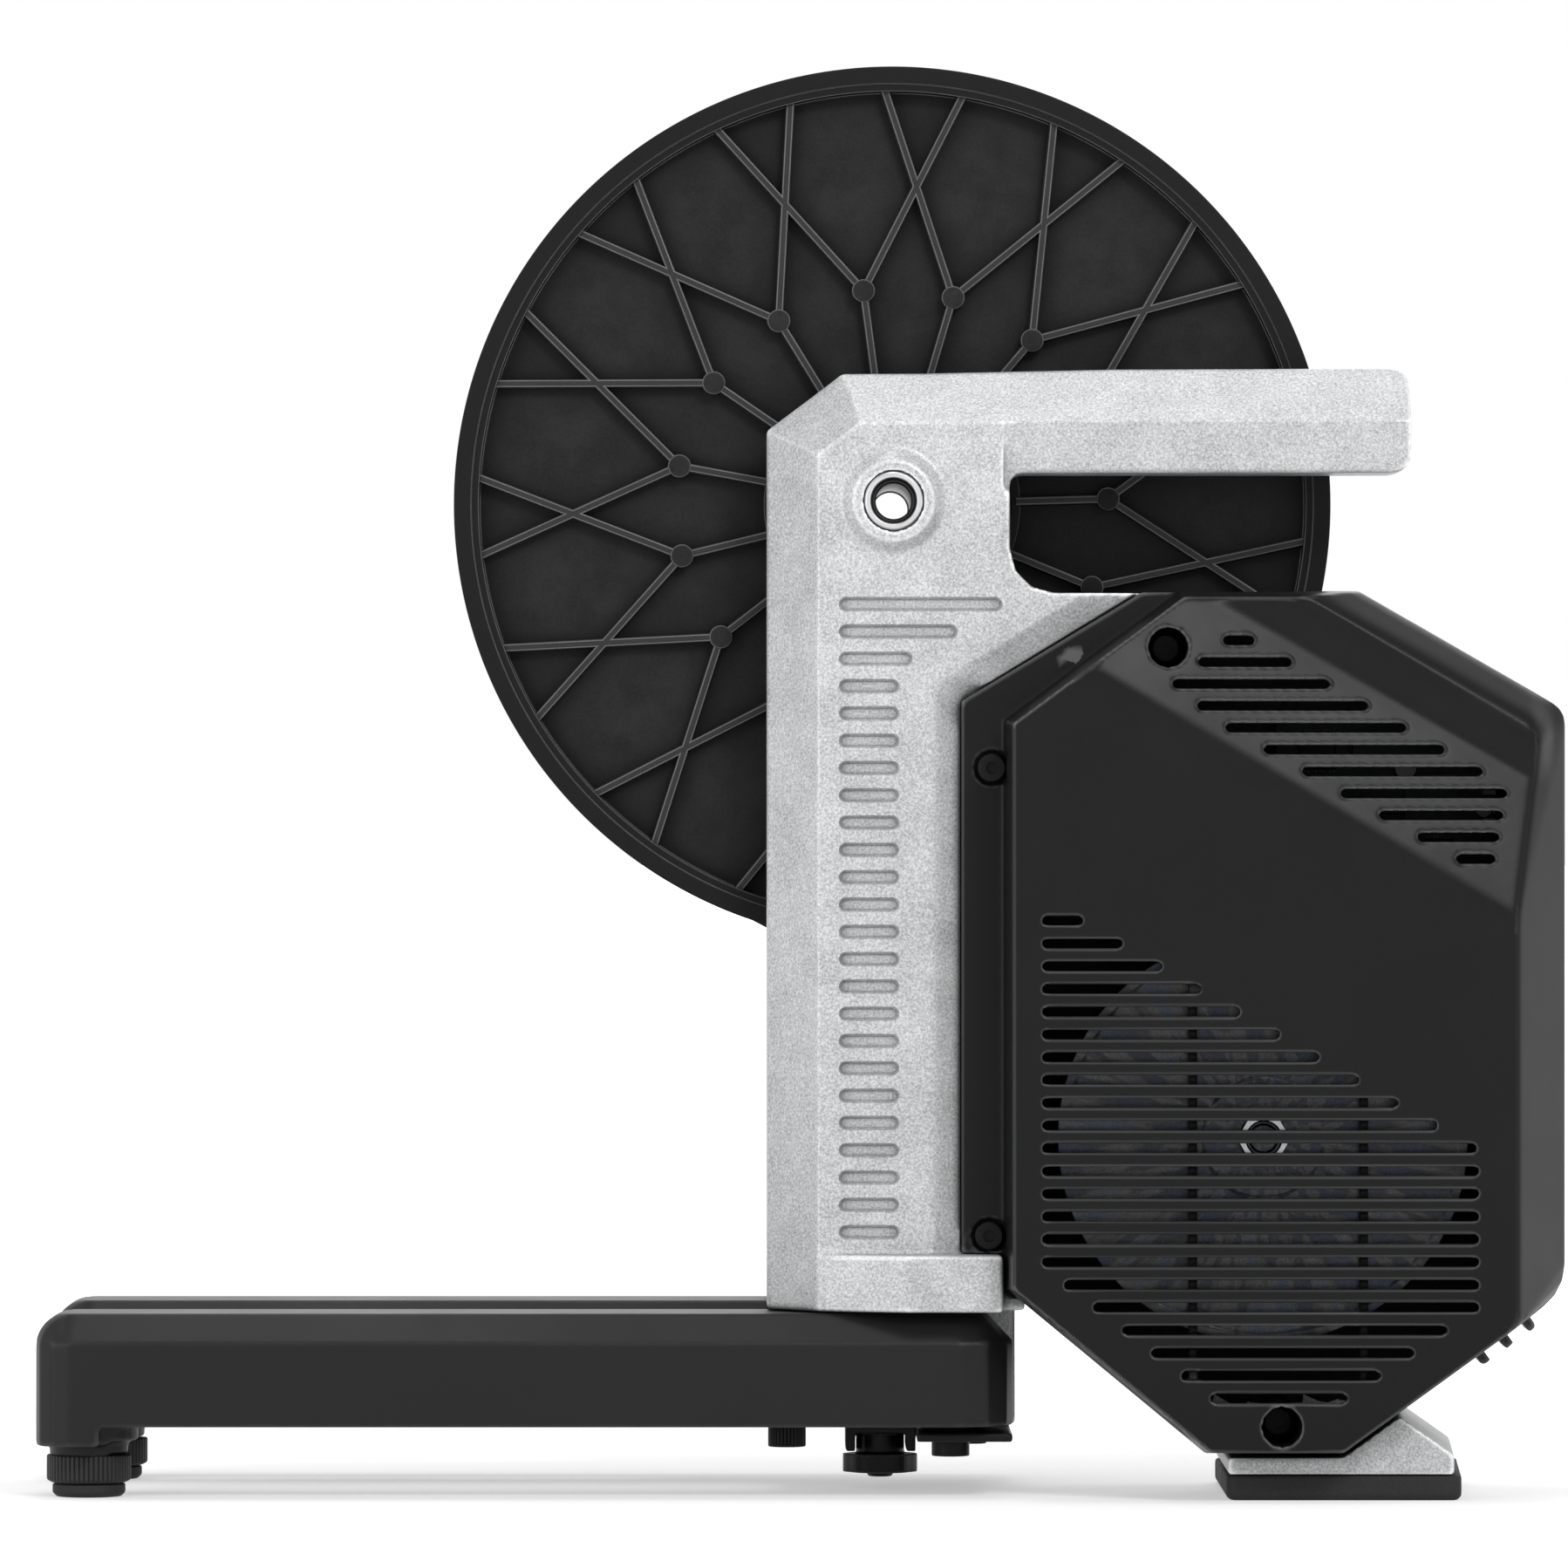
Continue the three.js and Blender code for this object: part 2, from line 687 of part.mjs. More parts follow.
function castingHoles() {
  const screws = [...facePlaces, ...flangePlaces].map((at) =>
    rodAt(at, m5.hole, flangeSeat - overrun, flangeSeat + m5.length),
  );
  const farScrews = farPlaces.map((at) =>
    rodAt(at, m5.hole, farCupFloor - m5.length, farCupFloor),
  );
  const pivots = legPlaces.map((y) =>
    pegAt([leg.pivot, y], m8.hole, base.bottom - overrun, base.bottom + pivotScrew.depth + seat),
  );
  const brackets = bracketScrewPlaces.map((at) =>
    pegAt(at, m5.hole, bracket.top - overrun, bracket.top + bracketScrew.length),
  );
  const lock = pegAt([knob.reach, middle], m8.hole, bracket.top - overrun, knob.studTop + overrun);
  const tension = rodAt(tensionerBoltPlace(), m5.hole, web.near - overrun, arm.far + overrun);
  return [...screws, ...farScrews, ...pivots, ...brackets, lock, tension];
}

function frameCasting() {
  const column = join(
    cut(armBlank(), ...armHollows()),
    ...armRibs(),
    rodAt([0, axleHeight], arm.tubeRadius, flangeSeat, arm.far, medium),
    axleBoss(),
  );
  const body = join(
    column,
    baseBlock(),
    innerWeb(),
    ...gussetShares.map(gusset),
    hingePillar(),
    rearFootBlock(),
  );
  const grooves = slotRows(
    grooveRegion,
    groove.first,
    groove.pitch,
    groove.height,
    arm.near - overrun,
    arm.near + groove.depth,
  );
  return cut(
    body,
    ...grooves,
    ...castingHoles(),
    ...housingBores(),
    rodAt([0, axleHeight], axle.radius + seat, -overrun, arm.far + overrun, medium),
  );
}

// Near cover

// Its outer form, or with a skin the hollow inside it: a flat face, a sloping facet above the fold,
// a bevel down the rear edge, and the case's outline behind.
function nearForm(skin, back) {
  const face = inset(caseCorners, skin + cover.faceMargin);
  const near = cover.near + skin;
  const faceRear = cover.rear - cover.rearBevel - skin;
  const foldFront = onLine(face[7], face[6], cover.foldReach + skin);
  const foldRear = point(faceRear, cover.foldRear - skin);
  const along = foldRear.clone().sub(foldFront).normalize();
  const up = point(-along.y, along.x);
  const ridge = foldFront.clone().addScaledVector(up, cover.facetWidth - skin);
  const ridgeTop = ridge.clone().addScaledVector(along, (face[6].y - ridge.y) / along.y);
  const ridgeRear = onLine(ridge, ridgeTop, cover.rear - cover.crownMargin - skin);
  const facet = [face[6], ridgeTop, ridgeRear].map((corner) => {
    const away = corner.clone().sub(foldFront).dot(up);
    return new THREE.Vector3(corner.x, near + (cover.facetFall * away) / cover.facetWidth, corner.y);
  });
  const flat = [...face.slice(0, 3), onLine(face[2], face[3], faceRear), foldRear, foldFront, face[7]];
  return hull([
    ...atDepth(flat, near),
    ...facet,
    ...atDepth(caseOutline(skin), near + cover.rollDepth),
    ...atDepth(caseOutline(skin), back),
  ]);
}

const flangePlate = () =>
  across(
    outline([
      [flange.front, flange.foot],
      [cover.front, flange.cornerFoot],
      [cover.front + seatWidth, flange.cornerFoot],
      [cover.front + seatWidth, cover.browFoot - seatWidth],
      [hornReach, cover.top - seatWidth],
      [hornReach, cover.top - seat],
      [flange.tip, cover.top - seat],
      [flange.front, flange.shoulder],
    ]),
    flange.near,
    flange.far,
  );

const lowerRegion = outline([
  [lowerVent.front, lowerVent.frontFoot],
  [lowerVent.footFront, lowerVent.foot],
  [lowerVent.footRear, lowerVent.foot],
  [lowerVent.rear, lowerVent.rearFoot],
  [lowerVent.rear, lowerVent.rearTop],
  [lowerVent.front, lowerVent.top],
]);
const facetRegion = outline([
  [facetVent.front, facetVent.frontHeight],
  [facetVent.foot, facetVent.footHeight],
  [facetVent.rear, facetVent.rearHeight],
  [facetVent.peak, facetVent.top],
]);

function nearSlots() {
  const near = cover.near - overrun;
  const far = cover.near + cover.facetFall + 2 * cover.wall;
  return [
    ...slotRows(lowerRegion, lowerVent.first, slot.pitch, slot.height, near, far),
    ...slotRows(facetRegion, facetVent.first, slot.facetPitch, slot.height, near, far),
  ];
}

const lugSpace = () =>
  box(
    rearFoot.lugFront - 2 * seat,
    rearFoot.lugRear + 2 * seat,
    web.near - 2 * seat,
    arm.far + 2 * seat,
    0,
    rearFoot.lugTop + 2 * seat,
  );

function nearCover() {
  const outside = nearForm(0, cover.seam);
  const shell = cut(
    join(outside, flangePlate()),
    nearForm(cover.wall, cover.seam + overrun),
    ...nearSlots(),
  );
  const ribs = ribShares.map(caseReach).map((x) =>
    box(
      x - cover.ribWidth / 2,
      x + cover.ribWidth / 2,
      cover.near + cover.wall / 2,
      cover.near + cover.wall + cover.ribDepth,
      cover.bottom,
      cover.top,
    ),
  );
  const cups = facePlaces.map((at) => rodAt(at, cup.radius, cover.near, flange.far));
  const inside = join(...ribs, ...cups).intersect(outside);
  const bores = facePlaces.map((at) => rodAt(at, cup.bore, cover.near - overrun, flange.far - cup.floor));
  const recesses = flangePlaces.map((at) =>
    rodAt(at, cup.shallow, flange.near - overrun, flange.far - cup.floor),
  );
  const holes = [...facePlaces, ...flangePlaces].map((at) =>
    rodAt(at, m5.hole, flange.near - overrun, flange.far + overrun),
  );
  return cut(
    join(shell, inside),
    ...bores,
    ...recesses,
    ...holes,
    armSpace(flange.far, cover.seam + overrun),
    baseSpace(),
    lugSpace(),
  );
}

const baseSpace = () =>
  box(arm.front, base.rear + seat, -overrun, legSpacing, base.bottom - seat, base.top + seat);

// Far cover

const lipNear = pulley.near + pulley.width + running;
const farFront = cover.seam + seat;

const guardOutline = outline([
  [guard.front, guard.frontFoot],
  [guard.rear, guard.rearFoot],
  [guard.rear, guard.top],
  [guard.front, guard.top],
]);

// Its outer form, or with a skin the hollow inside it, which the lip beside the pulley stays out of.
function farForm(skin, front, guardFront) {
  const rolled = hull([
    ...atDepth(caseOutline(skin), front),
    ...atDepth(caseOutline(skin), cover.far - cover.farRoll - skin),
    ...atDepth(inset(caseCorners, skin + cover.farMargin), cover.far - skin),
  ]);
  return join(rolled, across(inset(guardOutline, skin), guardFront, cover.far - skin));
}

const pulleySpace = (skin, near) =>
  rodAt([0, axleHeight], pulley.radius + beltClearance + skin, near, cover.far + overrun, large);

// A fin that stands square to the case's rear slope.
function finOn(x) {
  const slope = caseCorners[3].clone().sub(caseCorners[2]).normalize();
  const out = point(slope.y, -slope.x);
  const root = onLine(caseCorners[2], caseCorners[3], x).addScaledVector(out, -cover.wall / 2);
  return across(bar(root, root.clone().addScaledVector(out, fin.reach), fin.width), fin.near, fin.far);
}

const farVents = () =>
  slotRows(
    outline([
      [farVent.front, farVent.frontFoot],
      [farVent.footFront, farVent.foot],
      [farVent.footRear, farVent.foot],
      [farVent.rear, farVent.rearFoot],
      [farVent.rear, farVent.top],
      [farVent.front, farVent.top],
    ]),
    slot.pitch,
    slot.pitch,
    slot.height,
    cover.far - 2 * cover.wall,
    cover.far + overrun,
  );

function socketSpace() {
  const half = socket.width / 2 + seat;
  return box(
    cover.rear - 2 * cover.wall,
    cover.rear + overrun,
    socket.depth - half,
    socket.depth + half,
    socket.height - half,
    socket.height + half,
  );
}

function farCover() {
  const outside = farForm(0, farFront, arm.far + seat);
  const hollow = cut(
    farForm(cover.wall, farFront - overrun, arm.far - overrun),
    pulleySpace(cover.wall, lipNear),
  );
  const cups = farPlaces.map((at) => rodAt(at, cup.radius, farCupFloor - cup.floor, cover.far));
  const bores = farPlaces.map((at) => rodAt(at, cup.bore, farCupFloor, cover.far + overrun));
  const holes = farPlaces.map((at) => rodAt(at, m5.hole, farCupFloor - overrun, farCupFloor + overrun));
  return cut(
    join(cut(outside, hollow), ...finShares.map(caseReach).map(finOn), join(...cups).intersect(outside)),
    pulleySpace(0, farFront - overrun),
    ...farVents(),
    ...bores,
    ...holes,
    armSpace(farFront - overrun, arm.far + seat),
    lugSpace(),
    socketSpace(),
  );
}

function powerSocket() {
  const half = socket.width / 2;
  const body = cut(
    box(-socket.length, 0, -half, half, -half, half),
    solid(lathe(rodProfile(socket.bore, -socket.boreDepth, overrun), small).rotateZ(-Math.PI / 2)),
  );
  const pin = solid(lathe(rodProfile(socket.pin, -socket.length / 2 - half, 0), small).rotateZ(-Math.PI / 2));
  return join(body, pin.translate(-seat, 0, 0));
}

// Legs and their feet, measured from the leg's pivot

function legBody() {
  const half = legWidth / 2;
  const plan = outline([
    [leg.front, -half, leg.tipRadius],
    [leg.rear, -half, leg.heelRadius],
    [leg.rear, half, leg.heelRadius],
    [leg.front, half, leg.tipRadius],
  ]);
  const tip = outline([
    [leg.front, -half, leg.tipRadius],
    [leg.front + leg.tipLength, -half],
    [leg.front + leg.tipLength, half],
    [leg.front, half, leg.tipRadius],
  ]);
  const body = join(
    hull([
      ...atHeight(plan, leg.bottom),
      ...atHeight(plan, leg.top - leg.bevel),
      ...atHeight(inset(plan, leg.bevel), leg.top),
    ]),
    upward(tip, leg.tipBottom, leg.bottom + sunk),
  );
  const pocket = box(
    leg.pocketFront,
    leg.pocketRear,
    leg.wall - half,
    half - leg.wall,
    leg.bottom - overrun,
    leg.pocketTop,
  );
  return cut(
    join(
      cut(body, pocket),
      pegAt([leg.foot, 0], leg.footBoss, leg.tipBottom, leg.bottom + sunk, medium),
      pegAt([leg.foot, 0], levelling.collar, levelling.collarBottom, leg.bottom, medium),
      peg(leg.pivotBoss, bracket.top + seat, leg.bottom + sunk),
    ),
    pegAt([leg.foot, 0], levelling.stud + seat, 0, levelling.holeTop),
    pegAt([leg.stop, 0], m8.hole, 0, leg.bottom + leg.stopDepth + seat),
    peg(m8.hole, 0, leg.top + overrun),
  );
}

const footWheel = () =>
  join(
    upward(waved(levelling.wheel, levelling.tooth, levelling.teeth, 2), levelling.wheelBottom, levelling.wheelTop),
    peg(levelling.stud, levelling.wheelTop - sunk, levelling.studTop),
  );

const footPad = () =>
  stood(
    [
      [0, 0],
      [levelling.pad, 0],
      [levelling.pad, levelling.padEdge],
      [levelling.padWaist, levelling.padTop],
      [0, levelling.padTop],
    ],
    medium,
  );

const stopScrew = () =>
  join(
    upward(waved(m8.head, m8.tooth, m8.teeth, 2), leg.bottom - seat - leg.stopHead, leg.bottom - seat),
    peg(m8.radius, leg.bottom - sunk, leg.bottom + leg.stopDepth),
  );

function pivotScrewBody() {
  const top = bracket.top - bracket.thickness - seat;
  return cut(
    join(
      peg(m8.head, top - pivotScrew.headHeight, top, medium),
      peg(m8.radius, top - sunk, base.bottom + pivotScrew.depth),
    ),
    peg(m8.key, 0, top - pivotScrew.headHeight / 2, 6),
  );
}

// Bracket under the legs, and the knob in its channel

function legBracket() {
  const bottom = bracket.top - bracket.thickness;
  const far = legSpacing + legWidth - bracket.side;
  const plate = box(bracket.front, bracket.rear, bracket.side, far, bottom, bracket.top);
  const near = middle - pillar.halfWidth;
  const end = middle + pillar.halfWidth;
  const reach = knob.neck + bracket.channelWall + seat;
  const channel = box(knob.reach - reach, bracket.front + sunk, near, end, bottom, bracket.top);
  const flanges = [-reach, reach - bracket.channelWall].map((offset) =>
    box(
      knob.reach + offset,
      knob.reach + offset + bracket.channelWall,
      near,
      end,
      bracket.channelFoot,
      bracket.top - sunk,
    ),
  );
  return cut(
    join(plate, channel, ...flanges),
    ...legPlaces.map((y) => pegAt([leg.pivot, y], m8.hole, 0, leg.bottom)),
    ...bracketScrewPlaces.map((at) => pegAt(at, m5.hole, 0, leg.bottom)),
    pegAt([knob.reach, middle], m8.hole, 0, leg.bottom),
  );
}

const lockKnob = () =>
  join(
    upward(waved(knob.radius, knob.lobe, knob.lobes, 6), knob.bottom, knob.top),
    stood(
      [[0, knob.tip], [knob.tipRadius, knob.tip], [knob.neck, knob.top - sunk], [0, knob.top - sunk]],
      medium,
    ),
    peg(knob.neck, knob.top - sunk, knob.neckTop, medium),
    peg(knob.stud, knob.neckTop - sunk, knob.studTop),
  );

function rearFootPad() {
  const plan = outline([
    [rearPad.front, -seat, rearPad.radius],
    [rearPad.rear, -seat, rearPad.radius],
    [rearPad.rear + rearFoot.flare, rearFoot.far + sunk, rearPad.radius],
    [rearPad.front, rearFoot.far + sunk, rearPad.radius],
  ]);
  return hull([
    ...atHeight(inset(plan, rearPad.margin), 0),
    ...atHeight(plan, rearPad.margin),
    ...atHeight(plan, rearPad.height),
  ]);
}

// Screws, with their heads' seats at the origin

function screw() {
  return cut(
    join(rod(m5.head, -m5.headHeight, 0, medium), rod(m5.radius, -sunk, m5.length)),
    rod(m5.key, -m5.headHeight - overrun, -m5.headHeight / 2, 6),
  );
}

// Axle and hub, measured from the axle

const capMouth = dropoutNear + axle.mouthDepth;
const capNearEnd = dropoutNear + axle.capLength;
const capFarStart = freehub.far + seat;
const capFarMouth = dropoutFar - axle.mouthDepth;
const bearingInner = axle.radius + seat;

const axleCapLeft = () =>
  turned(
    [
      [axle.mouth, dropoutNear],
      [axle.radius, dropoutNear],
      [axle.radius, capNearEnd],
      [axle.capBore, capNearEnd],
      [axle.capBore, capMouth],
      [axle.mouth, capMouth],
      [axle.mouth, dropoutNear],
    ],
    medium,
  );

const axleCapRight = () =>
  turned(
    [
      [axle.capBore, capFarStart],
      [capFarRadius, capFarStart],
      [capFarRadius, dropoutFar],
      [axle.mouth, dropoutFar],
      [axle.mouth, capFarMouth],
      [axle.capBore, capFarMouth],
      [axle.capBore, capFarStart],
    ],
    medium,
  );

const axleShaft = () =>
  join(
    ring(axle.bore, axle.radius, capNearEnd + seat, freehub.far),
    ring(axle.radius - sunk, axle.collar, arm.far + seat, hub.near - running),
  );

const hubBearingNear = hub.near + hub.inset;
const hubBearingFar = hub.far - hub.inset - bearing.width;
const hubBearing = (near) => ring(bearingInner, bearing.radius, near, near + bearing.width);

function hubShell() {
  const bore = bearing.radius + seat;
  const flangeFarSide = hub.flangeNear + hub.flangeWidth;
  const body = turned(
    [
      [bore, hub.near],
      [hub.radius, hub.near],
      [hub.radius, hub.flangeNear],
      [hub.flange, hub.flangeNear],
      [hub.flange, flangeFarSide],
      [hub.radius, flangeFarSide],
      [hub.radius, hub.far],
      [bore, hub.far],
      [bore, hubBearingFar - seat],
      [hub.neck, hubBearingFar - seat],
      [hub.neck, hubBearingNear + bearing.width + seat],
      [bore, hubBearingNear + bearing.width + seat],
      [bore, hub.near],
    ],
    medium,
  );
  const holes = boltPlaces.map((at) => rodAt(at, m5.hole, hub.flangeNear - seat, flangeFarSide + seat));
  return cut(body, ...holes);
}

const boltPlaces = Array.from({ length: pulleyBolt.count }, (_, i) => {
  const angle = (2 * Math.PI * i) / pulleyBolt.count;
  return [pulleyBolt.circle * Math.cos(angle), pulleyBolt.circle * Math.sin(angle)];
});

const polar = (radius, degrees) =>
  point(radius, 0).rotateAround(point(0, 0), THREE.MathUtils.degToRad(degrees));

function largePulley() {
  const far = pulley.near + pulley.width;
  const webFar = pulley.webNear + pulley.webWidth;
  const inner = hub.radius + seat;
  const discFar = hub.flangeNear - seat;
  const body = turned(
    [
      [inner, pulley.discNear],
      [pulley.disc, pulley.discNear],
      [pulley.disc, pulley.webNear],
      [pulleyRim, pulley.webNear],
      [pulleyRim, pulley.near + pulley.ledgeDepth],
      [pulleyLedge, pulley.near + pulley.ledgeDepth],
      [pulleyLedge, pulley.near],
      [pulley.radius, pulley.near],
      [pulley.radius, pulley.near + pulley.flange],
      [pulleyFloor, pulley.near + pulley.flange],
      [pulleyFloor, far - pulley.flange],
      [pulley.radius, far - pulley.flange],
      [pulley.radius, far],
      [pulleyRim, far],
      [pulleyRim, webFar],
      [pulley.disc, webFar],
      [pulley.disc, discFar],
      [inner, discFar],
      [inner, pulley.discNear],
    ],
    large,
  );
  const ribNear = pulley.near + pulley.ribInset;
  const ribFar = webFar - pulley.webWidth / 2;
  const rimMiddle = (pulleyRim + pulleyLedge) / 2;
  const ribs = [];
  for (let i = 0; i < pulley.spokes; i += 1) {
    const angle = pulley.turn + (360 * i) / pulley.spokes;
    const node = polar(pulley.nodeCircle, angle);
    const ends = [
      polar(pulley.ringInner + pulley.ribWidth / 2, angle),
      polar(rimMiddle, angle - pulley.ribSwing),
      polar(rimMiddle, angle + pulley.ribSwing),
    ];
    ribs.push(...ends.map((end) => across(bar(node, end, pulley.ribWidth), ribNear, ribFar)));
    ribs.push(rodAt([node.x, node.y], pulley.node, ribNear, ribFar, 8));
  }
  return cut(
    join(body, ring(pulley.ringInner, pulley.ringOuter, ribNear, ribFar), ...ribs),
    ...boltPlaces.map((at) => rodAt(at, m5.hole, pulley.discNear - seat, discFar + seat)),
  );
}

const pulleyBoltBody = () =>
  cut(
    join(
      rod(pulleyBolt.head, pulley.discNear - seat - m5.headHeight, pulley.discNear - seat),
      rod(m5.radius, pulley.discNear - sunk, hub.flangeNear + hub.flangeWidth),
    ),
    rod(m5.key, 0, pulley.discNear - seat - m5.headHeight / 2, 6),
  );

function freehubBody() {
  const splines = Array.from({ length: freehub.splines }, (_, i) =>
    splineShares.map(([turn, rise]) =>
      polar(
        freehub.valley + rise * (freehub.radius - freehub.valley),
        (360 * (i + turn)) / freehub.splines,
      ),
    ),
  ).flat();
  const bore = freehub.bearing + seat;
  return cut(
    join(
      across(splines, freehub.near + sunk, freehub.far),
      rod(freehub.shoulder, freehub.near, freehub.near + freehub.shoulderWidth, medium),
    ),
    rod(axle.radius + running, freehub.near - overrun, freehub.far + overrun, medium),
    rod(bore, freehub.near - overrun, freehub.near + freehub.bearingWidth + seat, medium),
    rod(bore, freehub.far - freehub.bearingWidth - seat, freehub.far + overrun, medium),
  );
}

const freehubBearing = (near) =>
  ring(bearingInner, freehub.bearing, near, near + freehub.bearingWidth - seat);

// Belt, its small pulley and its idler

const axlePoint = point(0, axleHeight);
const flywheelPoint = point(...flywheelPlace);
const beltInner = pulleyFloor + seat;
const littleInner = smallPulley.radius + seat;

// Both runs leave the pulleys square to the line between the two centres, less this angle.
const facing = flywheelPoint.clone().sub(axlePoint).angle();
const spread = Math.acos((beltInner - littleInner) / axlePoint.distanceTo(flywheelPoint));

function beltLoop(outer) {
  const turn = 2 * Math.PI;
  return [
    ...arc(axlePoint, beltInner + outer, facing + spread - turn, facing - spread, belt.bigSteps),
    ...arc(flywheelPoint, littleInner + outer, facing - spread, facing + spread, belt.littleSteps),
  ];
}

function driveBelt() {
  const near = pulley.near + pulley.flange + belt.side;
  const far = pulley.near + pulley.width - pulley.flange - belt.side;
  return cut(
    across(beltLoop(belt.thickness), near, far),
    across(beltLoop(0), near - overrun, far + overrun),
  );
}

function idlerPlace() {
  const away = point(1, 0).rotateAround(point(0, 0), facing - spread);
  const start = axlePoint.clone().addScaledVector(away, beltInner);
  const end = flywheelPoint.clone().addScaledVector(away, littleInner);
  const gap = belt.thickness + seat + idler.radius;
  const { x, y } = start.lerp(end, idlerShare).addScaledVector(away, gap);
  return [x, y];
}

function tensionerBoltPlace() {
  const [x, z] = idlerPlace();
  return [x + tensioner.boltReach, z - tensioner.boltDrop];
}

// From the idler's axis
function tensionerBracket() {
  const near = arm.far + seat;
  const far = near + tensioner.thickness;
  const bolt = point(tensioner.boltReach, -tensioner.boltDrop);
  return cut(
    join(
      across(capsule(point(0, 0), bolt, tensioner.halfWidth), near, far),
      rod(idler.stud, near, pulley.near + pulley.width, medium),
    ),
    rodAt([bolt.x, bolt.y], m5.hole, near - overrun, far + overrun),
  );
}

const idlerPulley = () =>
  ring(idler.stud + seat, idler.radius, pulley.near, pulley.near + pulley.width);

const shaftBore = shaft.radius + seat;

function smallPulleyBody() {
  const far = pulley.near + pulley.width;
  return turned(
    [
      [shaftBore, pulley.near],
      [smallPulley.flange, pulley.near],
      [smallPulley.flange, pulley.near + pulley.flange],
      [smallPulley.radius, pulley.near + pulley.flange],
      [smallPulley.radius, far - pulley.flange],
      [smallPulley.flange, far - pulley.flange],
      [smallPulley.flange, far],
      [shaftBore, far],
      [shaftBore, pulley.near],
    ],
    medium,
  );
}

// Flywheel and brake, measured from the flywheel's axis

const flywheelBody = () =>
  turned(
    [
      [shaftBore, flywheel.near],
      [flywheel.grooveCircle - flywheel.groove, flywheel.near],
      [flywheel.grooveCircle, flywheel.near + flywheel.groove],
      [flywheel.grooveCircle + flywheel.groove, flywheel.near],
      [flywheel.radius, flywheel.near],
      [flywheel.radius, flywheel.far],
      [flywheel.rim, flywheel.far],
      [flywheel.rim, flywheel.near + flywheel.web],
      [flywheel.hub, flywheel.near + flywheel.web],
      [flywheel.hub, flywheel.hubFar],
      [shaftBore, flywheel.hubFar],
      [shaftBore, flywheel.near],
    ],
    large,
  );

const flywheelShaft = () =>
  join(rod(shaft.thread, shaft.near, 0, medium), rod(shaft.radius, flywheel.near, shaft.far, medium));

const flywheelNut = () =>
  cut(
    rod(nut.radius, nut.near, flywheel.near - seat, 6),
    rod(shaft.thread + seat, nut.near - overrun, flywheel.near),
  );

const flywheelBearingBody = (near) =>
  ring(shaftBore, flywheelBearing.radius, near, near + flywheelBearing.width);

const poleTurns = Array.from({ length: core.poles }, (_, i) => (2 * Math.PI * i) / core.poles);

function brakeCore() {
  const half = core.poleWidth / 2;
  const far = core.near + core.width;
  const poles = poleTurns.map((angle) =>
    across(
      rectangle(core.yoke - sunk, core.tip, -half, half).map((corner) =>
        corner.rotateAround(point(0, 0), angle),
      ),
      core.near,
      far,
    ),
  );
  return join(ring(housing.radius + seat, core.yoke, core.near, far), ...poles);
}

// Round a pole that points along x
function brakeCoil() {
  const hole = core.poleWidth / 2 + seat;
  const half = hole + coil.thickness;
  const near = core.near - seat;
  const far = core.near + core.width + seat;
  return cut(
    across(rectangle(coil.inner, coil.outer, -half, half), near - coil.thickness, far + coil.thickness),
    across(rectangle(coil.inner - overrun, coil.outer + overrun, -hole, hole), near, far),
  );
}

// Electronics

function circuitBoard() {
  const plate = box(board.front, board.rear, board.near, boardFar, board.bottom, board.top);
  const breadth = board.rear - board.front;
  const up = board.top - board.bottom;
  const parts = chipShares.map(({ reach, rise, width, height, depth }) =>
    box(
      board.front + breadth * reach,
      board.front + breadth * (reach + width),
      board.near - up * depth,
      board.near + sunk,
      board.bottom + up * rise,
      board.bottom + up * (rise + height),
    ),
  );
  return join(plate, ...parts);
}

// Assembly

function placed(mesh, place, turn = [0, 0, 0]) {
  mesh.position.set(...place);
  mesh.rotation.set(...turn);
  return mesh;
}

const upwards = [Math.PI / 2, 0, 0];
const backwards = [0, 0, Math.PI];

const screws = (name, places, turn) =>
  places.map((place, i) => placed(piece(`${name}_${i + 1}`, screw(), darkSteel), place, turn));

const coverSeat = flange.far - cup.floor - seat;
const bracketSeat = bracket.top - bracket.thickness - seat;

const legGroup = (side, y) =>
  group(
    [leg.pivot, y, 0],
    piece(`leg_${side}`, legBody(), blackPaint),
    piece(`leg_pivot_screw_${side}`, pivotScrewBody(), darkSteel),
    placed(piece(`leg_stop_screw_${side}`, stopScrew(), darkSteel), [leg.stop, 0, 0]),
    placed(piece(`foot_wheel_${side}`, footWheel(), black), [leg.foot, 0, 0]),
    placed(piece(`foot_pad_${side}`, footPad(), rubber), [leg.foot, 0, 0]),
  );

const stand = [
  piece("frame_casting", frameCasting(), silver),
  piece("rear_foot_pad", rearFootPad(), rubber),
  piece("leg_bracket", legBracket(), darkSteel),
  placed(piece("lock_knob", lockKnob(), black), [knob.reach, middle, 0]),
  legGroup("left", legPlaces[0]),
  legGroup("right", legPlaces[1]),
  ...screws("bracket_screw", bracketScrewPlaces.map(([x, y]) => [x, y, bracketSeat]), upwards),
];

const axleGroup = group(
  [0, 0, axleHeight],
  piece("axle_shaft", axleShaft(), steel),
  piece("axle_cap_left", axleCapLeft(), steel),
  piece("axle_cap_right", axleCapRight(), steel),
  piece("hub_bearing_left", hubBearing(hubBearingNear), steel),
  piece("hub_bearing_right", hubBearing(hubBearingFar), steel),
  piece("hub_shell", hubShell(), silver),
  piece("large_pulley", largePulley(), discPlastic),
  ...boltPlaces.map(([x, z], i) =>
    placed(piece(`pulley_bolt_${i + 1}`, pulleyBoltBody(), darkSteel), [x, 0, z]),
  ),
  piece("freehub_bearing_inner", freehubBearing(freehub.near + seat), steel),
  piece("freehub_bearing_outer", freehubBearing(freehub.far - freehub.bearingWidth), steel),
  piece("freehub_body", freehubBody(), steel),
);

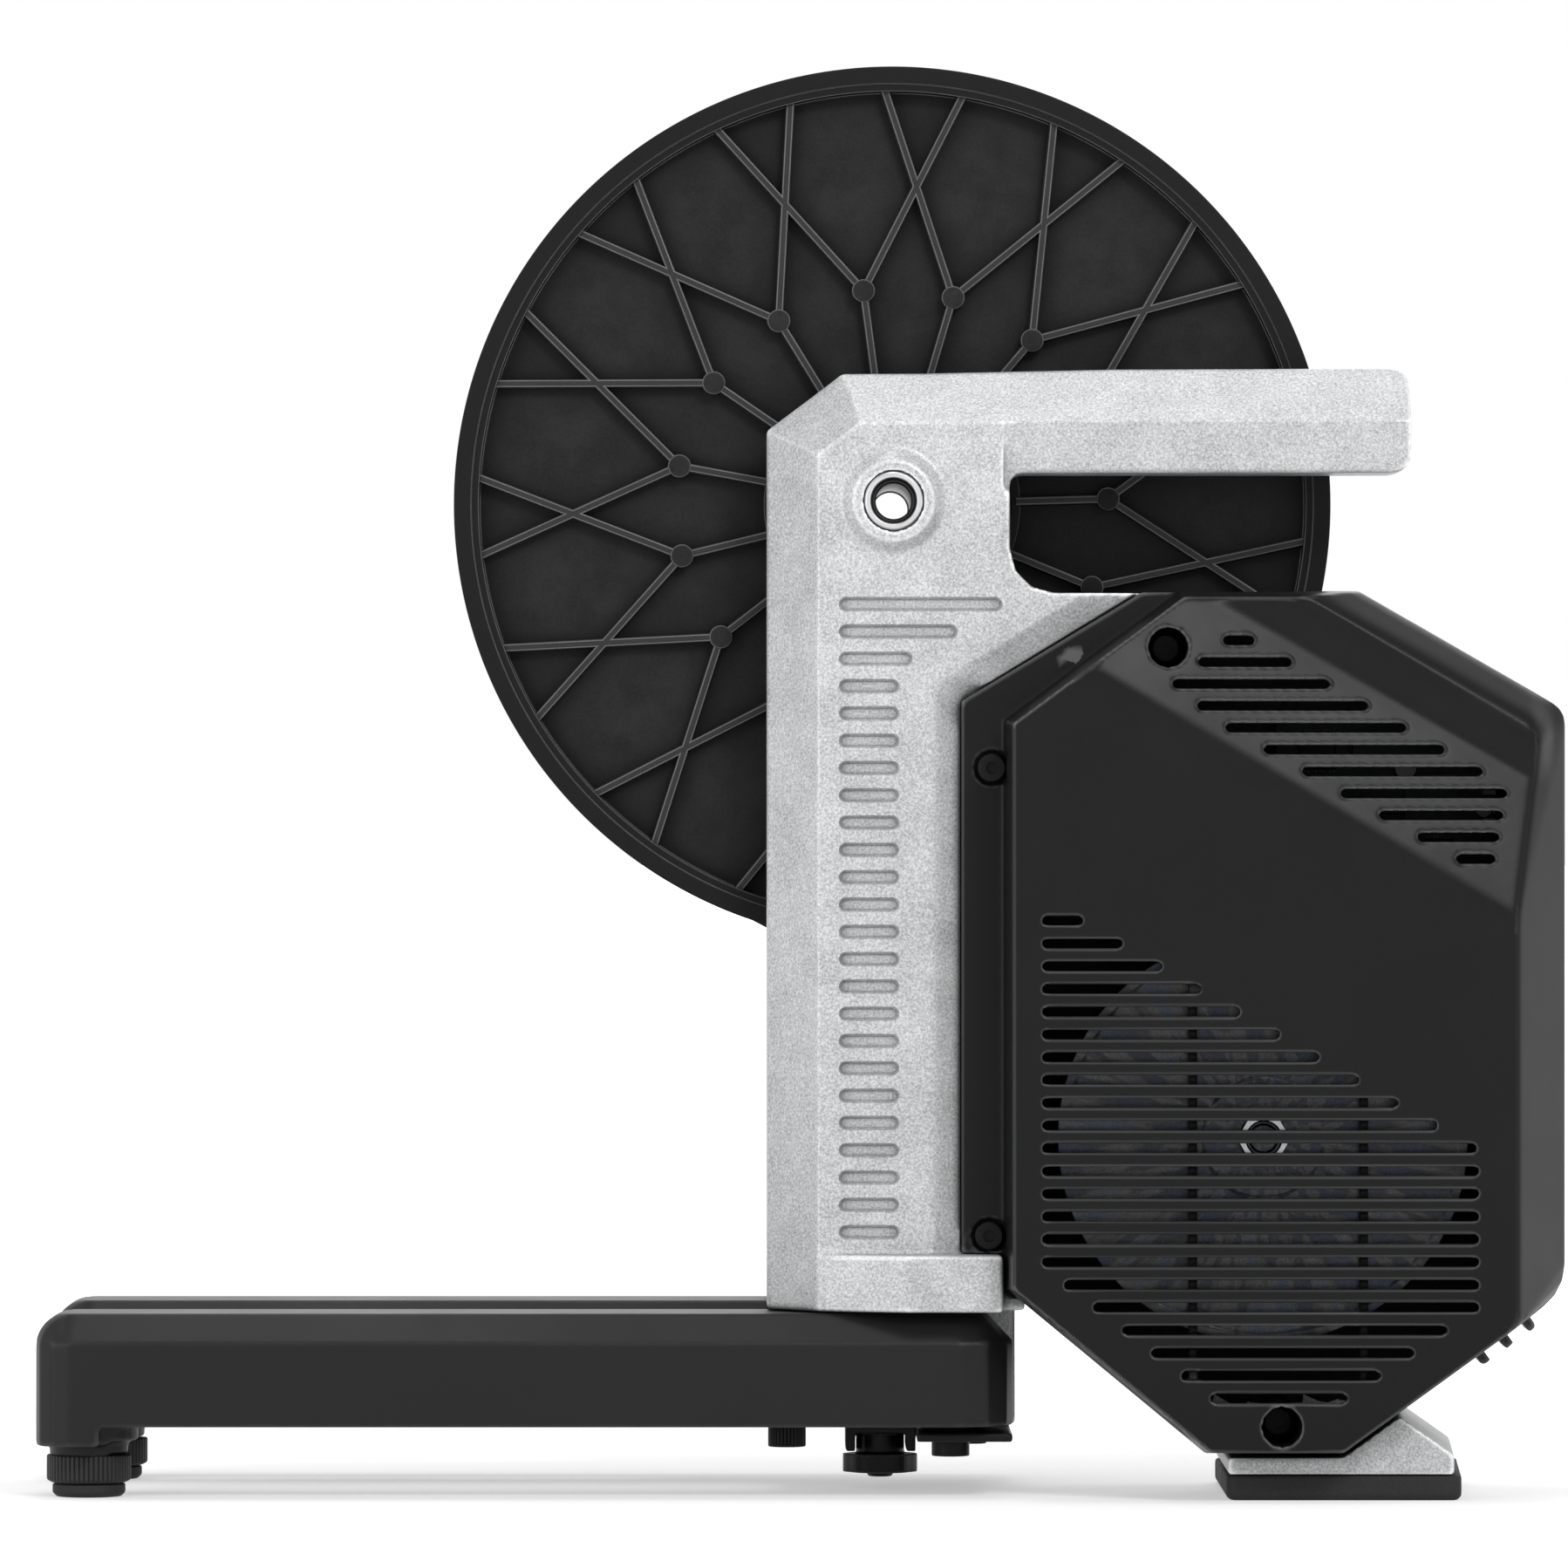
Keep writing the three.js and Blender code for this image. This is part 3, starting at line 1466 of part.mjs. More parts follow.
const flywheelGroup = group(
  [flywheel.reach, 0, flywheel.height],
  piece("flywheel", flywheelBody(), darkSteel),
  piece("flywheel_shaft", flywheelShaft(), steel),
  piece("flywheel_nut", flywheelNut(), steel),
  piece("flywheel_bearing_near", flywheelBearingBody(housing.near + housing.inset), steel),
  piece("flywheel_bearing_far", flywheelBearingBody(farBearingStart), steel),
  piece("small_pulley", smallPulleyBody(), darkSteel),
  piece("brake_core", brakeCore(), steel),
  ...poleTurns.map((angle, i) =>
    placed(piece(`brake_coil_${i + 1}`, brakeCoil(), copper), [0, 0, 0], [0, -angle, 0]),
  ),
);

const [idlerReach, idlerHeight] = idlerPlace();
const [boltReach, boltHeight] = tensionerBoltPlace();
const boltDepth = arm.far + seat + tensioner.thickness + seat;

const drive = [
  piece("drive_belt", driveBelt(), rubber),
  placed(piece("tensioner_bracket", tensionerBracket(), darkSteel), [idlerReach, 0, idlerHeight]),
  placed(piece("idler_pulley", idlerPulley(), black), [idlerReach, 0, idlerHeight]),
  placed(piece("tensioner_bolt", screw(), darkSteel), [boltReach, boltDepth, boltHeight], backwards),
  piece("circuit_board", circuitBoard(), green),
  placed(piece("power_socket", powerSocket(), black), [cover.rear, socket.depth, socket.height]),
];

const covers = [
  piece("near_cover", nearCover(), black),
  piece("far_cover", farCover(), black),
  ...screws("cover_screw", [...facePlaces, ...flangePlaces].map(([x, z]) => [x, coverSeat, z])),
  ...screws("far_cover_screw", farPlaces.map(([x, z]) => [x, farCupFloor + seat, z]), backwards),
];

const trainer = group([0, 0, 0], ...stand, axleGroup, flywheelGroup, ...drive, ...covers);
const bounds = new THREE.Box3().setFromObject(trainer);
const centre = bounds.getCenter(new THREE.Vector3());
trainer.position.set(-centre.x, -centre.y, -bounds.min.z);

export default new THREE.Group().add(trainer);
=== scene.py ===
import json
import math

import bmesh
import bpy
import numpy as np
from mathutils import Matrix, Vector

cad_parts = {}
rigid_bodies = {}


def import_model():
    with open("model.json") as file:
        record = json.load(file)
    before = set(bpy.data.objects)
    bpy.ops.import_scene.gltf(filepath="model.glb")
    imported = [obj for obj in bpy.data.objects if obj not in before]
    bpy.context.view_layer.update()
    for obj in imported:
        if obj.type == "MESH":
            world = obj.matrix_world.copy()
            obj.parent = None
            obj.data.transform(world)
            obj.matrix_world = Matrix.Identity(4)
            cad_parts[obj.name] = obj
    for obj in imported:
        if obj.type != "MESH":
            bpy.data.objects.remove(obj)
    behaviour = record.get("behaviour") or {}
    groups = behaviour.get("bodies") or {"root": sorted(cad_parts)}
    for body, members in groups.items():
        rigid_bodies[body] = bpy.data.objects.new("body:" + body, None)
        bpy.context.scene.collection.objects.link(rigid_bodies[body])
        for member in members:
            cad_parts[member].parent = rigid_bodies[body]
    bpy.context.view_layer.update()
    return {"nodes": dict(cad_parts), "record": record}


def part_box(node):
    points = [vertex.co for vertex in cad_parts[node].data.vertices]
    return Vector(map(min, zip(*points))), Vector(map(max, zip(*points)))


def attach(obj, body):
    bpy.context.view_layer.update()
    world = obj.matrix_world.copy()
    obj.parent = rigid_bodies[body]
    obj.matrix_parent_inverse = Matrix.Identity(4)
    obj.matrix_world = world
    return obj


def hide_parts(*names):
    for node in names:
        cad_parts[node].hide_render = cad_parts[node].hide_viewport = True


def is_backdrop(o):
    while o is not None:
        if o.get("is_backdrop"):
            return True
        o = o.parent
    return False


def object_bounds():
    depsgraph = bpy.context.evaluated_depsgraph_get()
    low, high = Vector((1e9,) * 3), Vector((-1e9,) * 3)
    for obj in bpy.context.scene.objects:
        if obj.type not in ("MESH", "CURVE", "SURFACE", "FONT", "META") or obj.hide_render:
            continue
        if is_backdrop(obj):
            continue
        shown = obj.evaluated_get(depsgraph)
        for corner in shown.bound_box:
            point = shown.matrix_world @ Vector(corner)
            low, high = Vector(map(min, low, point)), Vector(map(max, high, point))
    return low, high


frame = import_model()

NODES = frame["nodes"]
RECORD = frame["record"]
SLOT_OF = {part["node"]: part["material_slot"] for part in RECORD["subparts"]}
BODY_OF = {node: body for body, names in RECORD["behaviour"]["bodies"].items() for node in names}
MM = 0.001

# The part's source measures x from the axle, and y from the near side of the near leg.
AXLE_X = 31.85
NEAR_Y = -65.0
ORIGIN = np.array((AXLE_X, NEAR_Y, 0))
AXLE_Z = 341.3
FLYWHEEL_X, FLYWHEEL_Z = 125.5, 124


def row(x, y, z):
    """A place of the part's source, in millimetres, as one of the row frame, in metres."""
    return Vector((x + AXLE_X, y + NEAR_Y, z)) * MM


def source_of(places):
    """Many places of the row frame, in metres, as ones of the part's source, in millimetres."""
    return places / MM - ORIGIN


def row_of(at):
    return (at + ORIGIN) * MM


def between(values, low, high):
    return (values > low) & (values < high)


# Materials


def node(tree, kind, values=(), **links):
    """A shader node with some values set and some sockets linked, by the sockets' names."""
    made = tree.nodes.new("ShaderNode" + kind)
    for name, value in dict(values).items():
        if name in made.inputs:
            made.inputs[name].default_value = value
        else:
            setattr(made, name, value)
    for name, socket in links.items():
        tree.links.new(socket, made.inputs[name.replace("_", " ")])
    return made


def computed(tree, kind, operation, *values):
    """What a Math or VectorMath node makes of sockets and fixed values."""
    made = node(tree, kind, {"operation": operation})
    for socket, value in zip(made.inputs, values):
        if isinstance(value, bpy.types.NodeSocket):
            tree.links.new(value, socket)
        else:
            socket.default_value = value
    return made.outputs["Value" if operation == "LENGTH" else 0]


def ranged(tree, socket, low, high, to_low, to_high):
    """A socket's values from low to high laid over to_low to to_high, and held there beyond."""
    limits = {"From Min": low, "From Max": high, "To Min": to_low, "To Max": to_high}
    return node(tree, "MapRange", limits, Value=socket).outputs[0]


def noise(tree, place, **settings):
    return node(tree, "TexNoise", settings, Vector=place).outputs["Fac"]


def ramp(tree, socket, *stops):
    """Levels from stops of (place, grey or colour)."""
    made = tree.nodes.new("ShaderNodeValToRGB")
    tree.links.new(socket, made.inputs["Fac"])
    elements = made.color_ramp.elements
    while len(elements) < len(stops):
        elements.new(0.5)
    for element, (place, value) in zip(elements, stops):
        element.position = place
        element.color = (*value, 1) if isinstance(value, tuple) else (value, value, value, 1)
    return made.outputs["Color"]


def mixed(tree, kind, amount, first, second):
    """Two colours mixed by an amount, each of the three a socket or a fixed value."""
    made = tree.nodes.new("ShaderNodeMix")
    made.data_type = "RGBA"
    made.blend_type = kind
    for socket, value in ((made.inputs[0], amount), (made.inputs[6], first), (made.inputs[7], second)):
        if isinstance(value, bpy.types.NodeSocket):
            tree.links.new(value, socket)
        elif socket.type == "RGBA":
            socket.default_value = (*value, 1)
        else:
            socket.default_value = value
    return made.outputs[2]


def finish_of(
    name, dark, light, rough, metallic=0.0, level=0.5, grain=1500, grain_depth=0.03, cloud=30,
    cloud_share=0.25, edge=None, edge_share=0.5, scratch=0.0, ringed=None, streaked=None, shade=0.0,
    shade_dark=0.5,
):
    """A moulded, cast or machined surface: speckle, broad clouding, paler edges, uneven gloss and fine relief.

    dark and light are the ends of its colour and rough those of its roughness. edge is the colour that convex
    edges turn paler towards, as wear and as painted highlight. ringed is a centre that turning marks run round,
    and streaked one that coloured streaks run out from. shade is how far, in metres, the painted shade of a
    corner reaches, where the colour falls to shade_dark of itself, while open faces are painted up to 1.25
    times lighter. That is matched to the depth of shade in the photograph, and is more than dirt would make.
    """
    material = bpy.data.materials.new(name)
    material.use_nodes = True
    tree = material.node_tree
    shader = tree.nodes["Principled BSDF"]
    shader.inputs["Metallic"].default_value = metallic
    shader.inputs["Specular IOR Level"].default_value = level
    place = node(tree, "TexCoord").outputs["Object"]
    speckle = noise(tree, place, Scale=grain, Detail=2.0, Roughness=0.6)
    clouds = noise(tree, place, Scale=cloud, Detail=4.0, Roughness=0.55)
    broad = computed(tree, "Math", "MULTIPLY", ranged(tree, clouds, 0.35, 0.65, 0.0, 1.0), cloud_share)
    fine = computed(tree, "Math", "MULTIPLY", ranged(tree, speckle, 0.3, 0.7, 0.0, 1.0), 1 - cloud_share)
    colour = mixed(tree, "MIX", computed(tree, "Math", "ADD", broad, fine), dark, light)
    # Paler convex edges: wear and painted highlight.
    if edge:
        bend = node(tree, "NewGeometry").outputs["Pointiness"]
        colour = mixed(tree, "MIX", ranged(tree, bend, 0.511, 0.55, 0.0, edge_share), colour, edge)
    if streaked is not None:
        offset = computed(tree, "VectorMath", "SUBTRACT", place, streaked)
        rays = noise(tree, computed(tree, "VectorMath", "NORMALIZE", offset), Scale=9.0, Detail=3.0)
        colour = mixed(tree, "MULTIPLY", 0.9, colour, ramp(
            tree, rays, (0.36, (0.4, 0.45, 0.6)), (0.47, (0.4, 0.4, 0.42)),
            (0.55, (0.9, 0.82, 0.7)), (0.66, (0.6, 0.7, 0.82))))
    # Painted shade in corners, and open faces painted lighter.
    if shade:
        corner = node(tree, "AmbientOcclusion", {"Distance": shade, "samples": 8}).outputs["AO"]
        colour = mixed(tree, "MULTIPLY", 1.0, colour, ranged(tree, corner, 0.45, 0.95, shade_dark, 1.25))
    tree.links.new(colour, shader.inputs["Base Color"])
    gloss = ranged(tree, clouds, 0.3, 0.7, *rough)
    relief = speckle
    if ringed is not None:
        offset = computed(tree, "VectorMath", "SUBTRACT", place, ringed)
        flat = computed(tree, "VectorMath", "MULTIPLY", offset, (1, 0, 1))
        rings = node(
            tree, "TexNoise", {"noise_dimensions": "1D", "Scale": 2600, "Detail": 3.0},
            W=computed(tree, "VectorMath", "LENGTH", flat),
        )
        relief = computed(tree, "Math", "ADD", rings.outputs["Fac"], speckle)
    if scratch:
        drawn_out = node(tree, "Mapping", {"Scale": (40, 40, 2200)}, Vector=place).outputs[0]
        marks = noise(tree, drawn_out, Scale=1.0, Detail=2.0)
        gloss = computed(tree, "Math", "MULTIPLY_ADD", marks, scratch, gloss)
    tree.links.new(gloss, shader.inputs["Roughness"])
    bump = node(tree, "Bump", {"Strength": 1.0, "Distance": grain_depth * MM}, Height=relief)
    tree.links.new(bump.outputs["Normal"], shader.inputs["Normal"])
    return material


# Both silvers take painted shade in corners and grooves.
SILVER_TONES = dict(
    dark=(0.225, 0.228, 0.233), light=(0.59, 0.595, 0.602), rough=(0.38, 0.5), metallic=0.25, grain=1250,
    grain_depth=0.07, cloud=60, cloud_share=0.2, shade=0.004,
)
# silver_paint: paler convex edges, as wear and as painted highlight.
SILVER = finish_of("silver_paint", **SILVER_TONES, shade_dark=0.45, edge=(0.9, 0.903, 0.907), edge_share=0.7)
# The grooved face: lighter painted shade in the grooves and no paler edges.
SILVER_PLAIN = finish_of("silver_paint_face", **SILVER_TONES, shade_dark=0.62)
# Paler convex edges, as wear and as painted highlight along the ridges and round the slots.
COVER = finish_of(
    "cover_plastic", (0.0066, 0.0067, 0.0069), (0.0096, 0.0098, 0.0101), (0.29, 0.35), level=0.12, grain=2400,
    grain_depth=0.025, cloud=40, edge=(0.13, 0.131, 0.133), edge_share=0.9,
)
KNURL = finish_of(
    "knurled_plastic", (0.021, 0.0212, 0.0216), (0.034, 0.0342, 0.0346), (0.45, 0.55), level=0.2, grain=2600,
    grain_depth=0.02, cloud=60,
)
# Paler convex edges, as wear and as painted highlight.
PAINT = finish_of(
    "black_paint", (0.0068, 0.007, 0.0073), (0.0108, 0.011, 0.0114), (0.38, 0.46), level=0.21, grain=3000,
    grain_depth=0.015, cloud=25, edge=(0.06, 0.061, 0.063), edge_share=0.5,
)
# A guess, and painted shade: near black, so that what lies behind the vents reads dark.
INSIDE = finish_of(
    "shaded_casting", (0.006, 0.0061, 0.0064), (0.012, 0.0122, 0.0127), (0.5, 0.62), level=0.12, grain=1500,
    grain_depth=0.04, cloud=60,
)
# Strong painted shade by the ribs and nodes, with the open web painted lighter.
DISC = finish_of(
    "disc_plastic", (0.0055, 0.0055, 0.0057), (0.0185, 0.0185, 0.0188), (0.5, 0.62), level=0.14, grain=900,
    grain_depth=0.06, cloud=90, cloud_share=0.6, shade=0.025, shade_dark=0.15,
)
# Painted shade: the rim is a darker copy of the disc's plastic.
DISC_RIM = finish_of(
    "disc_rim", (0.0055, 0.0055, 0.0057), (0.009, 0.009, 0.0092), (0.5, 0.6), level=0.12, grain=1800,
    grain_depth=0.03, cloud=50,
)
# Painted light: the ribs' sides are a lighter copy of the disc's plastic.
DISC_RIB = finish_of(
    "disc_ribs", (0.017, 0.0171, 0.0175), (0.030, 0.0302, 0.0308), (0.42, 0.55), level=0.2, grain=1600,
    grain_depth=0.03, cloud=90,
)
# Painted highlight: the eased edges are a much lighter copy of the disc's plastic.
DISC_EDGE_HIGHLIGHT = finish_of(
    "disc_edges_painted_highlight", (0.08, 0.0805, 0.081), (0.13, 0.131, 0.132), (0.35, 0.5), level=0.4, grain=1600,
    grain_depth=0.02, cloud=90,
)
RUBBER = finish_of(
    "rubber", (0.019, 0.019, 0.0192), (0.03, 0.03, 0.0305), (0.62, 0.78), level=0.25, grain=1300,
    grain_depth=0.05, cloud=70,
)
STEEL = finish_of(
    "machined_steel", (0.5, 0.505, 0.51), (0.72, 0.725, 0.735), (0.2, 0.32), metallic=1.0, grain=2600,
    grain_depth=0.008, cloud=60, scratch=0.08,
)
AXLE_STEEL = finish_of(
    "turned_steel", (0.42, 0.425, 0.43), (0.62, 0.625, 0.635), (0.28, 0.4), metallic=0.9, grain=2600,
    grain_depth=0.01, cloud=60, ringed=tuple(row(0, 0, AXLE_Z)),
)
NUT_STEEL = finish_of(
    "plated_steel", (0.22, 0.222, 0.226), (0.4, 0.403, 0.408), (0.22, 0.34), metallic=1.0, grain=2600,
    grain_depth=0.01, cloud=140, cloud_share=0.5,
)
# A guess, and painted shade: near black, so that the bores read dark.
CAP_BORE = finish_of(
    "cap_bore", (0.008, 0.008, 0.0082), (0.016, 0.016, 0.0163), (0.3, 0.42), metallic=0.5, grain=2600,
    grain_depth=0.01, cloud=60,
)
DARK_STEEL = finish_of(
    "blackened_steel", (0.007, 0.0071, 0.0073), (0.014, 0.0142, 0.0146), (0.34, 0.46), metallic=0.3,
    level=0.12, grain=2600, grain_depth=0.015, cloud=80,
)
FLYWHEEL_CENTRE = tuple(row(FLYWHEEL_X, 0, FLYWHEEL_Z))
FLYWHEEL = finish_of(
    "flywheel_steel", (0.035, 0.037, 0.042), (0.085, 0.088, 0.098), (0.25, 0.4), metallic=0.9, grain=2000,
    grain_depth=0.012, cloud=30, ringed=FLYWHEEL_CENTRE, streaked=FLYWHEEL_CENTRE,
)
COPPER = finish_of(
    "enamelled_copper", (0.36, 0.13, 0.04), (0.6, 0.26, 0.1), (0.25, 0.35), metallic=1.0, grain=3000,
    grain_depth=0.03, cloud=90,
)
# Painted shade: the board, its chips and its tin are darker than real ones, so that they read dark behind the
# vents.
BOARD = finish_of(
    "solder_mask", (0.001, 0.004, 0.002), (0.002, 0.008, 0.004), (0.3, 0.42), level=0.08, grain=1800,
    grain_depth=0.02, cloud=160, cloud_share=0.5,
)
CHIP = finish_of(
    "chip_resin", (0.003, 0.003, 0.0032), (0.006, 0.006, 0.0063), (0.4, 0.55), level=0.08, grain=2400,
    grain_depth=0.02, cloud=120,
)
TIN = finish_of(
    "tin_in_painted_shade", (0.03, 0.03, 0.031), (0.07, 0.07, 0.071), (0.35, 0.5), metallic=0.7, level=0.2, grain=2600,
    grain_depth=0.01, cloud=120,
)

MATERIAL_OF_SLOT = {
    "silver_paint": SILVER,
    "black_cover": COVER,
    "black_paint": PAINT,
    "disc_plastic": DISC,
    "rubber": RUBBER,
    "steel": STEEL,
    "dark_steel": DARK_STEEL,
    "copper": COPPER,
    "board": BOARD,
}


# Meshes


def shown(name, mesh, node_name, material=None):
    """A piece that stands for a CAD node, rides with it and takes its slot and material."""
    piece = bpy.data.objects.new(name, mesh)
    bpy.context.scene.collection.objects.link(piece)
    mesh.materials.clear()
    mesh.materials.append(material or MATERIAL_OF_SLOT[SLOT_OF[node_name]])
    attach(piece, BODY_OF[node_name])
    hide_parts(node_name)
    return piece


def evaluated(source):
    graph = bpy.context.evaluated_depsgraph_get()
    return bpy.data.meshes.new_from_object(source.evaluated_get(graph))


def modified(mesh, kind, **settings):
    """The mesh with one modifier applied."""
    holder = bpy.data.objects.new("holder", mesh)
    bpy.context.scene.collection.objects.link(holder)
    modifier = holder.modifiers.new("step", kind)
    for name, value in settings.items():
        setattr(modifier, name, value)
    bpy.context.view_layer.update()
    made = evaluated(holder)
    bpy.data.objects.remove(holder)
    return made


def places_of(mesh):
    places = np.empty(len(mesh.vertices) * 3)
    mesh.vertices.foreach_get("co", places)
    return places.reshape(-1, 3)


def set_places(mesh, places):
    mesh.vertices.foreach_set("co", places.astype(np.float32).ravel())
    mesh.update()


def relaxed(mesh, passes, weight=None):
    """Moves each vertex towards the middle of its neighbours, by its weight from 0 to 1."""
    places = places_of(mesh)
    edges = np.empty(len(mesh.edges) * 2, np.int64)
    mesh.edges.foreach_get("vertices", edges)
    first, second = edges.reshape(-1, 2).T
    count = len(places)
    ends = np.concatenate([first, second])
    others = np.concatenate([second, first])
    degree = np.maximum(np.bincount(ends, minlength=count), 1)[:, None]
    share = 0.5 if weight is None else 0.5 * weight(places)[:, None]
    for _ in range(passes):
        near = np.stack([np.bincount(ends, places[others, k], count) for k in range(3)], 1) / degree
        places = places + share * (near - places)
    set_places(mesh, places)
    return mesh


def softened(mesh, voxel, passes, faces, weight=None, weight_passes=0, moved=None):
    """Rounds a CAD solid's edges: remeshed in voxels of that size in millimetres, relaxed, and thinned to that
    many triangles. moved changes the vertices in between."""
    mesh = modified(mesh, "REMESH", mode="VOXEL", voxel_size=voxel * MM)
    relaxed(mesh, passes)
    if moved:
        set_places(mesh, moved(places_of(mesh)))
    if weight_passes:
        relaxed(mesh, weight_passes, weight)
    triangles = 2 * len(mesh.polygons)
    if triangles > faces:
        mesh = modified(mesh, "DECIMATE", decimate_type="COLLAPSE", ratio=faces / triangles)
    return mesh


def soft_copy(node_name, name, voxel, passes, faces, material=None, **more):
    mesh = softened(NODES[node_name].data.copy(), voxel, passes, faces, **more)
    mesh.shade_smooth()
    return shown(name, mesh, node_name, material)


def filleted(profile, radius, closed=False, steps=3):
    """A profile of (radius, along) pairs with its corners rounded."""
    points = [Vector(p) for p in profile]
    count = len(points)
    made = []
    for i, corner in enumerate(points):
        if not closed and i in (0, count - 1):
            made.append(corner)
            continue
        before = points[i - 1] - corner
        after = points[(i + 1) % count] - corner
        cut = min(radius, before.length * 0.45, after.length * 0.45)
        start = corner + before.normalized() * cut
        end = corner + after.normalized() * cut
        for k in range(steps + 1):
            t = k / steps
            made.append((1 - t) ** 2 * start + 2 * t * (1 - t) * corner + t * t * end)
    return made


def spun(profile, centre, axis, segments, wave=None, closed=False):
    """A profile of (radius, along) pairs turned about an axis, in millimetres. wave(radius, angle) gives
    what the radius grows by there. A profile that isn't closed starts and ends on the axis."""
    centre = Vector(centre)
    along = {"x": Vector((1, 0, 0)), "y": Vector((0, 1, 0)), "z": Vector((0, 0, 1))}[axis]
    side = {"x": Vector((0, 1, 0)), "y": Vector((1, 0, 0)), "z": Vector((1, 0, 0))}[axis]
    other = along.cross(side)
    made = bmesh.new()
    rings = []
    for radius, level in profile:
        if radius < 1e-6:
            rings.append([made.verts.new(centre + along * level * MM)])
            continue
        ring = []
        for k in range(segments):
            angle = 2 * math.pi * k / segments
            reach = radius + (wave(radius, angle) if wave else 0)
            outward = side * math.cos(angle) + other * math.sin(angle)
            ring.append(made.verts.new(centre + (along * level + outward * reach) * MM))
        rings.append(ring)
    pairs = list(zip(rings, rings[1:]))
    if closed:
        pairs.append((rings[-1], rings[0]))
    for lower, upper in pairs:
        for k in range(segments):
            after = (k + 1) % segments
            if len(lower) == 1 and len(upper) > 1:
                made.faces.new((lower[0], upper[after], upper[k]))
            elif len(upper) == 1 and len(lower) > 1:
                made.faces.new((lower[k], lower[after], upper[0]))
            elif len(lower) > 1:
                made.faces.new((lower[k], lower[after], upper[after], upper[k]))
    bmesh.ops.recalc_face_normals(made, faces=made.faces)
    mesh = bpy.data.meshes.new("spun")
    made.to_mesh(mesh)
    made.free()
    return mesh


def mesh_from(made):
    bmesh.ops.recalc_face_normals(made, faces=made.faces)
    mesh = bpy.data.meshes.new("made")
    made.to_mesh(mesh)
    made.free()
    return mesh


def joined(first, others, operation="UNION"):
    """One mesh from closed ones, joined to the first or cut out of it."""
    holder = bpy.data.objects.new("holder", first)
    bpy.context.scene.collection.objects.link(holder)
    tools = bpy.data.collections.new("tools")
    bpy.context.scene.collection.children.link(tools)
    for mesh in others:
        tools.objects.link(bpy.data.objects.new("tool", mesh))
    modifier = holder.modifiers.new("join", "BOOLEAN")
    modifier.operation = operation
    modifier.operand_type = "COLLECTION"
    modifier.collection = tools
    modifier.solver = "MANIFOLD"
    bpy.context.view_layer.update()
    made = evaluated(holder)
    for tool in list(tools.objects):
        bpy.data.objects.remove(tool)
    bpy.data.collections.remove(tools)
    bpy.data.objects.remove(holder)
    return made


def crisp(mesh, angle=40):
    """Flat faces shade flat beside their rounded edges."""
    mesh.shade_smooth()
    mesh.set_sharp_from_angle(angle=math.radians(angle))
    return modified(mesh, "WEIGHTED_NORMAL", keep_sharp=True, weight=60)


def turned_piece(
    name, node_name, profile, centre, axis="y", segments=96, fillet=0.4, closed=True, wave=None, cuts=(),
    material=None,
):
    mesh = spun(filleted(profile, fillet, closed), centre, axis, segments, wave, closed)
    if cuts:
        mesh = joined(mesh, cuts, "DIFFERENCE")
    return shown(name, crisp(mesh), node_name, material)


def welded(node_name):
    """A copy of a CAD node's mesh with its corners joined, so that it can be cut."""
    made = bmesh.new()
    made.from_mesh(NODES[node_name].data)
    bmesh.ops.remove_doubles(made, verts=made.verts, dist=1e-7)
    mesh = bpy.data.meshes.new(node_name)
    made.to_mesh(mesh)
    made.free()
    return mesh


def slab(outline, start, end):
    """A plate between two depths, from its outline (x, z) in the source's millimetres."""
    made = bmesh.new()
    near, far = ([made.verts.new(row(x, depth, z)) for x, z in outline] for depth in (start, end))
    for k in range(len(outline)):
        after = (k + 1) % len(outline)
        made.faces.new((near[k], near[after], far[after], far[k]))
    made.faces.new(near[::-1])
    made.faces.new(far)
    return mesh_from(made)


def pill(left, right, level, half, start, end, draft=0.0, steps=10):
    """A slot with round ends between two places across, narrower by its draft at its end."""
    made = bmesh.new()
    rings = []
    for depth, reach in ((start, half), (end, half - draft)):
        ring = []
        for centre, turn in ((right, -90), (left, 90)):
            for k in range(steps + 1):
                angle = math.radians(turn + 180 * k / steps)
                ring.append(made.verts.new(
                    row(centre + reach * math.cos(angle), depth, level + reach * math.sin(angle))))
        rings.append(ring)
    near, far = rings
    for k in range(len(near)):
        after = (k + 1) % len(near)
        made.faces.new((near[k], near[after], far[after], far[k]))
    made.faces.new(near[::-1])
    made.faces.new(far)
    return mesh_from(made)


def rows_of(region, first, pitch, height):
    """The slots (left, right, level) that fill a region, from its top down, as the part's source lays them."""
    levels = [z for _, z in region]
    lowest = min(levels) + height / 2
    level = max(levels) - first
    rows = []
    while level > lowest:
        crossings = sorted(
            a[0] + (b[0] - a[0]) * (level - a[1]) / (b[1] - a[1])
            for a, b in zip(region, region[1:] + region[:1]) if (a[1] > level) != (b[1] > level)
        )
        rows.append((crossings[0] + height / 2, crossings[1] - height / 2, level))
        level -= pitch
    return rows


def parted(piece, materials, choose):
    """Gives each polygon one of the materials: choose takes the polygons' middles and normals, in the
    source's millimetres, and returns their numbers."""
    mesh = piece.data
    for material in materials:
        mesh.materials.append(material)
    middles = np.empty(len(mesh.polygons) * 3)
    normals = np.empty(len(mesh.polygons) * 3)
    mesh.polygons.foreach_get("center", middles)
    mesh.polygons.foreach_get("normal", normals)
    chosen = choose(source_of(middles.reshape(-1, 3)), normals.reshape(-1, 3))
    mesh.polygons.foreach_set("material_index", chosen.astype(np.int32))
    mesh.update()


# Casting

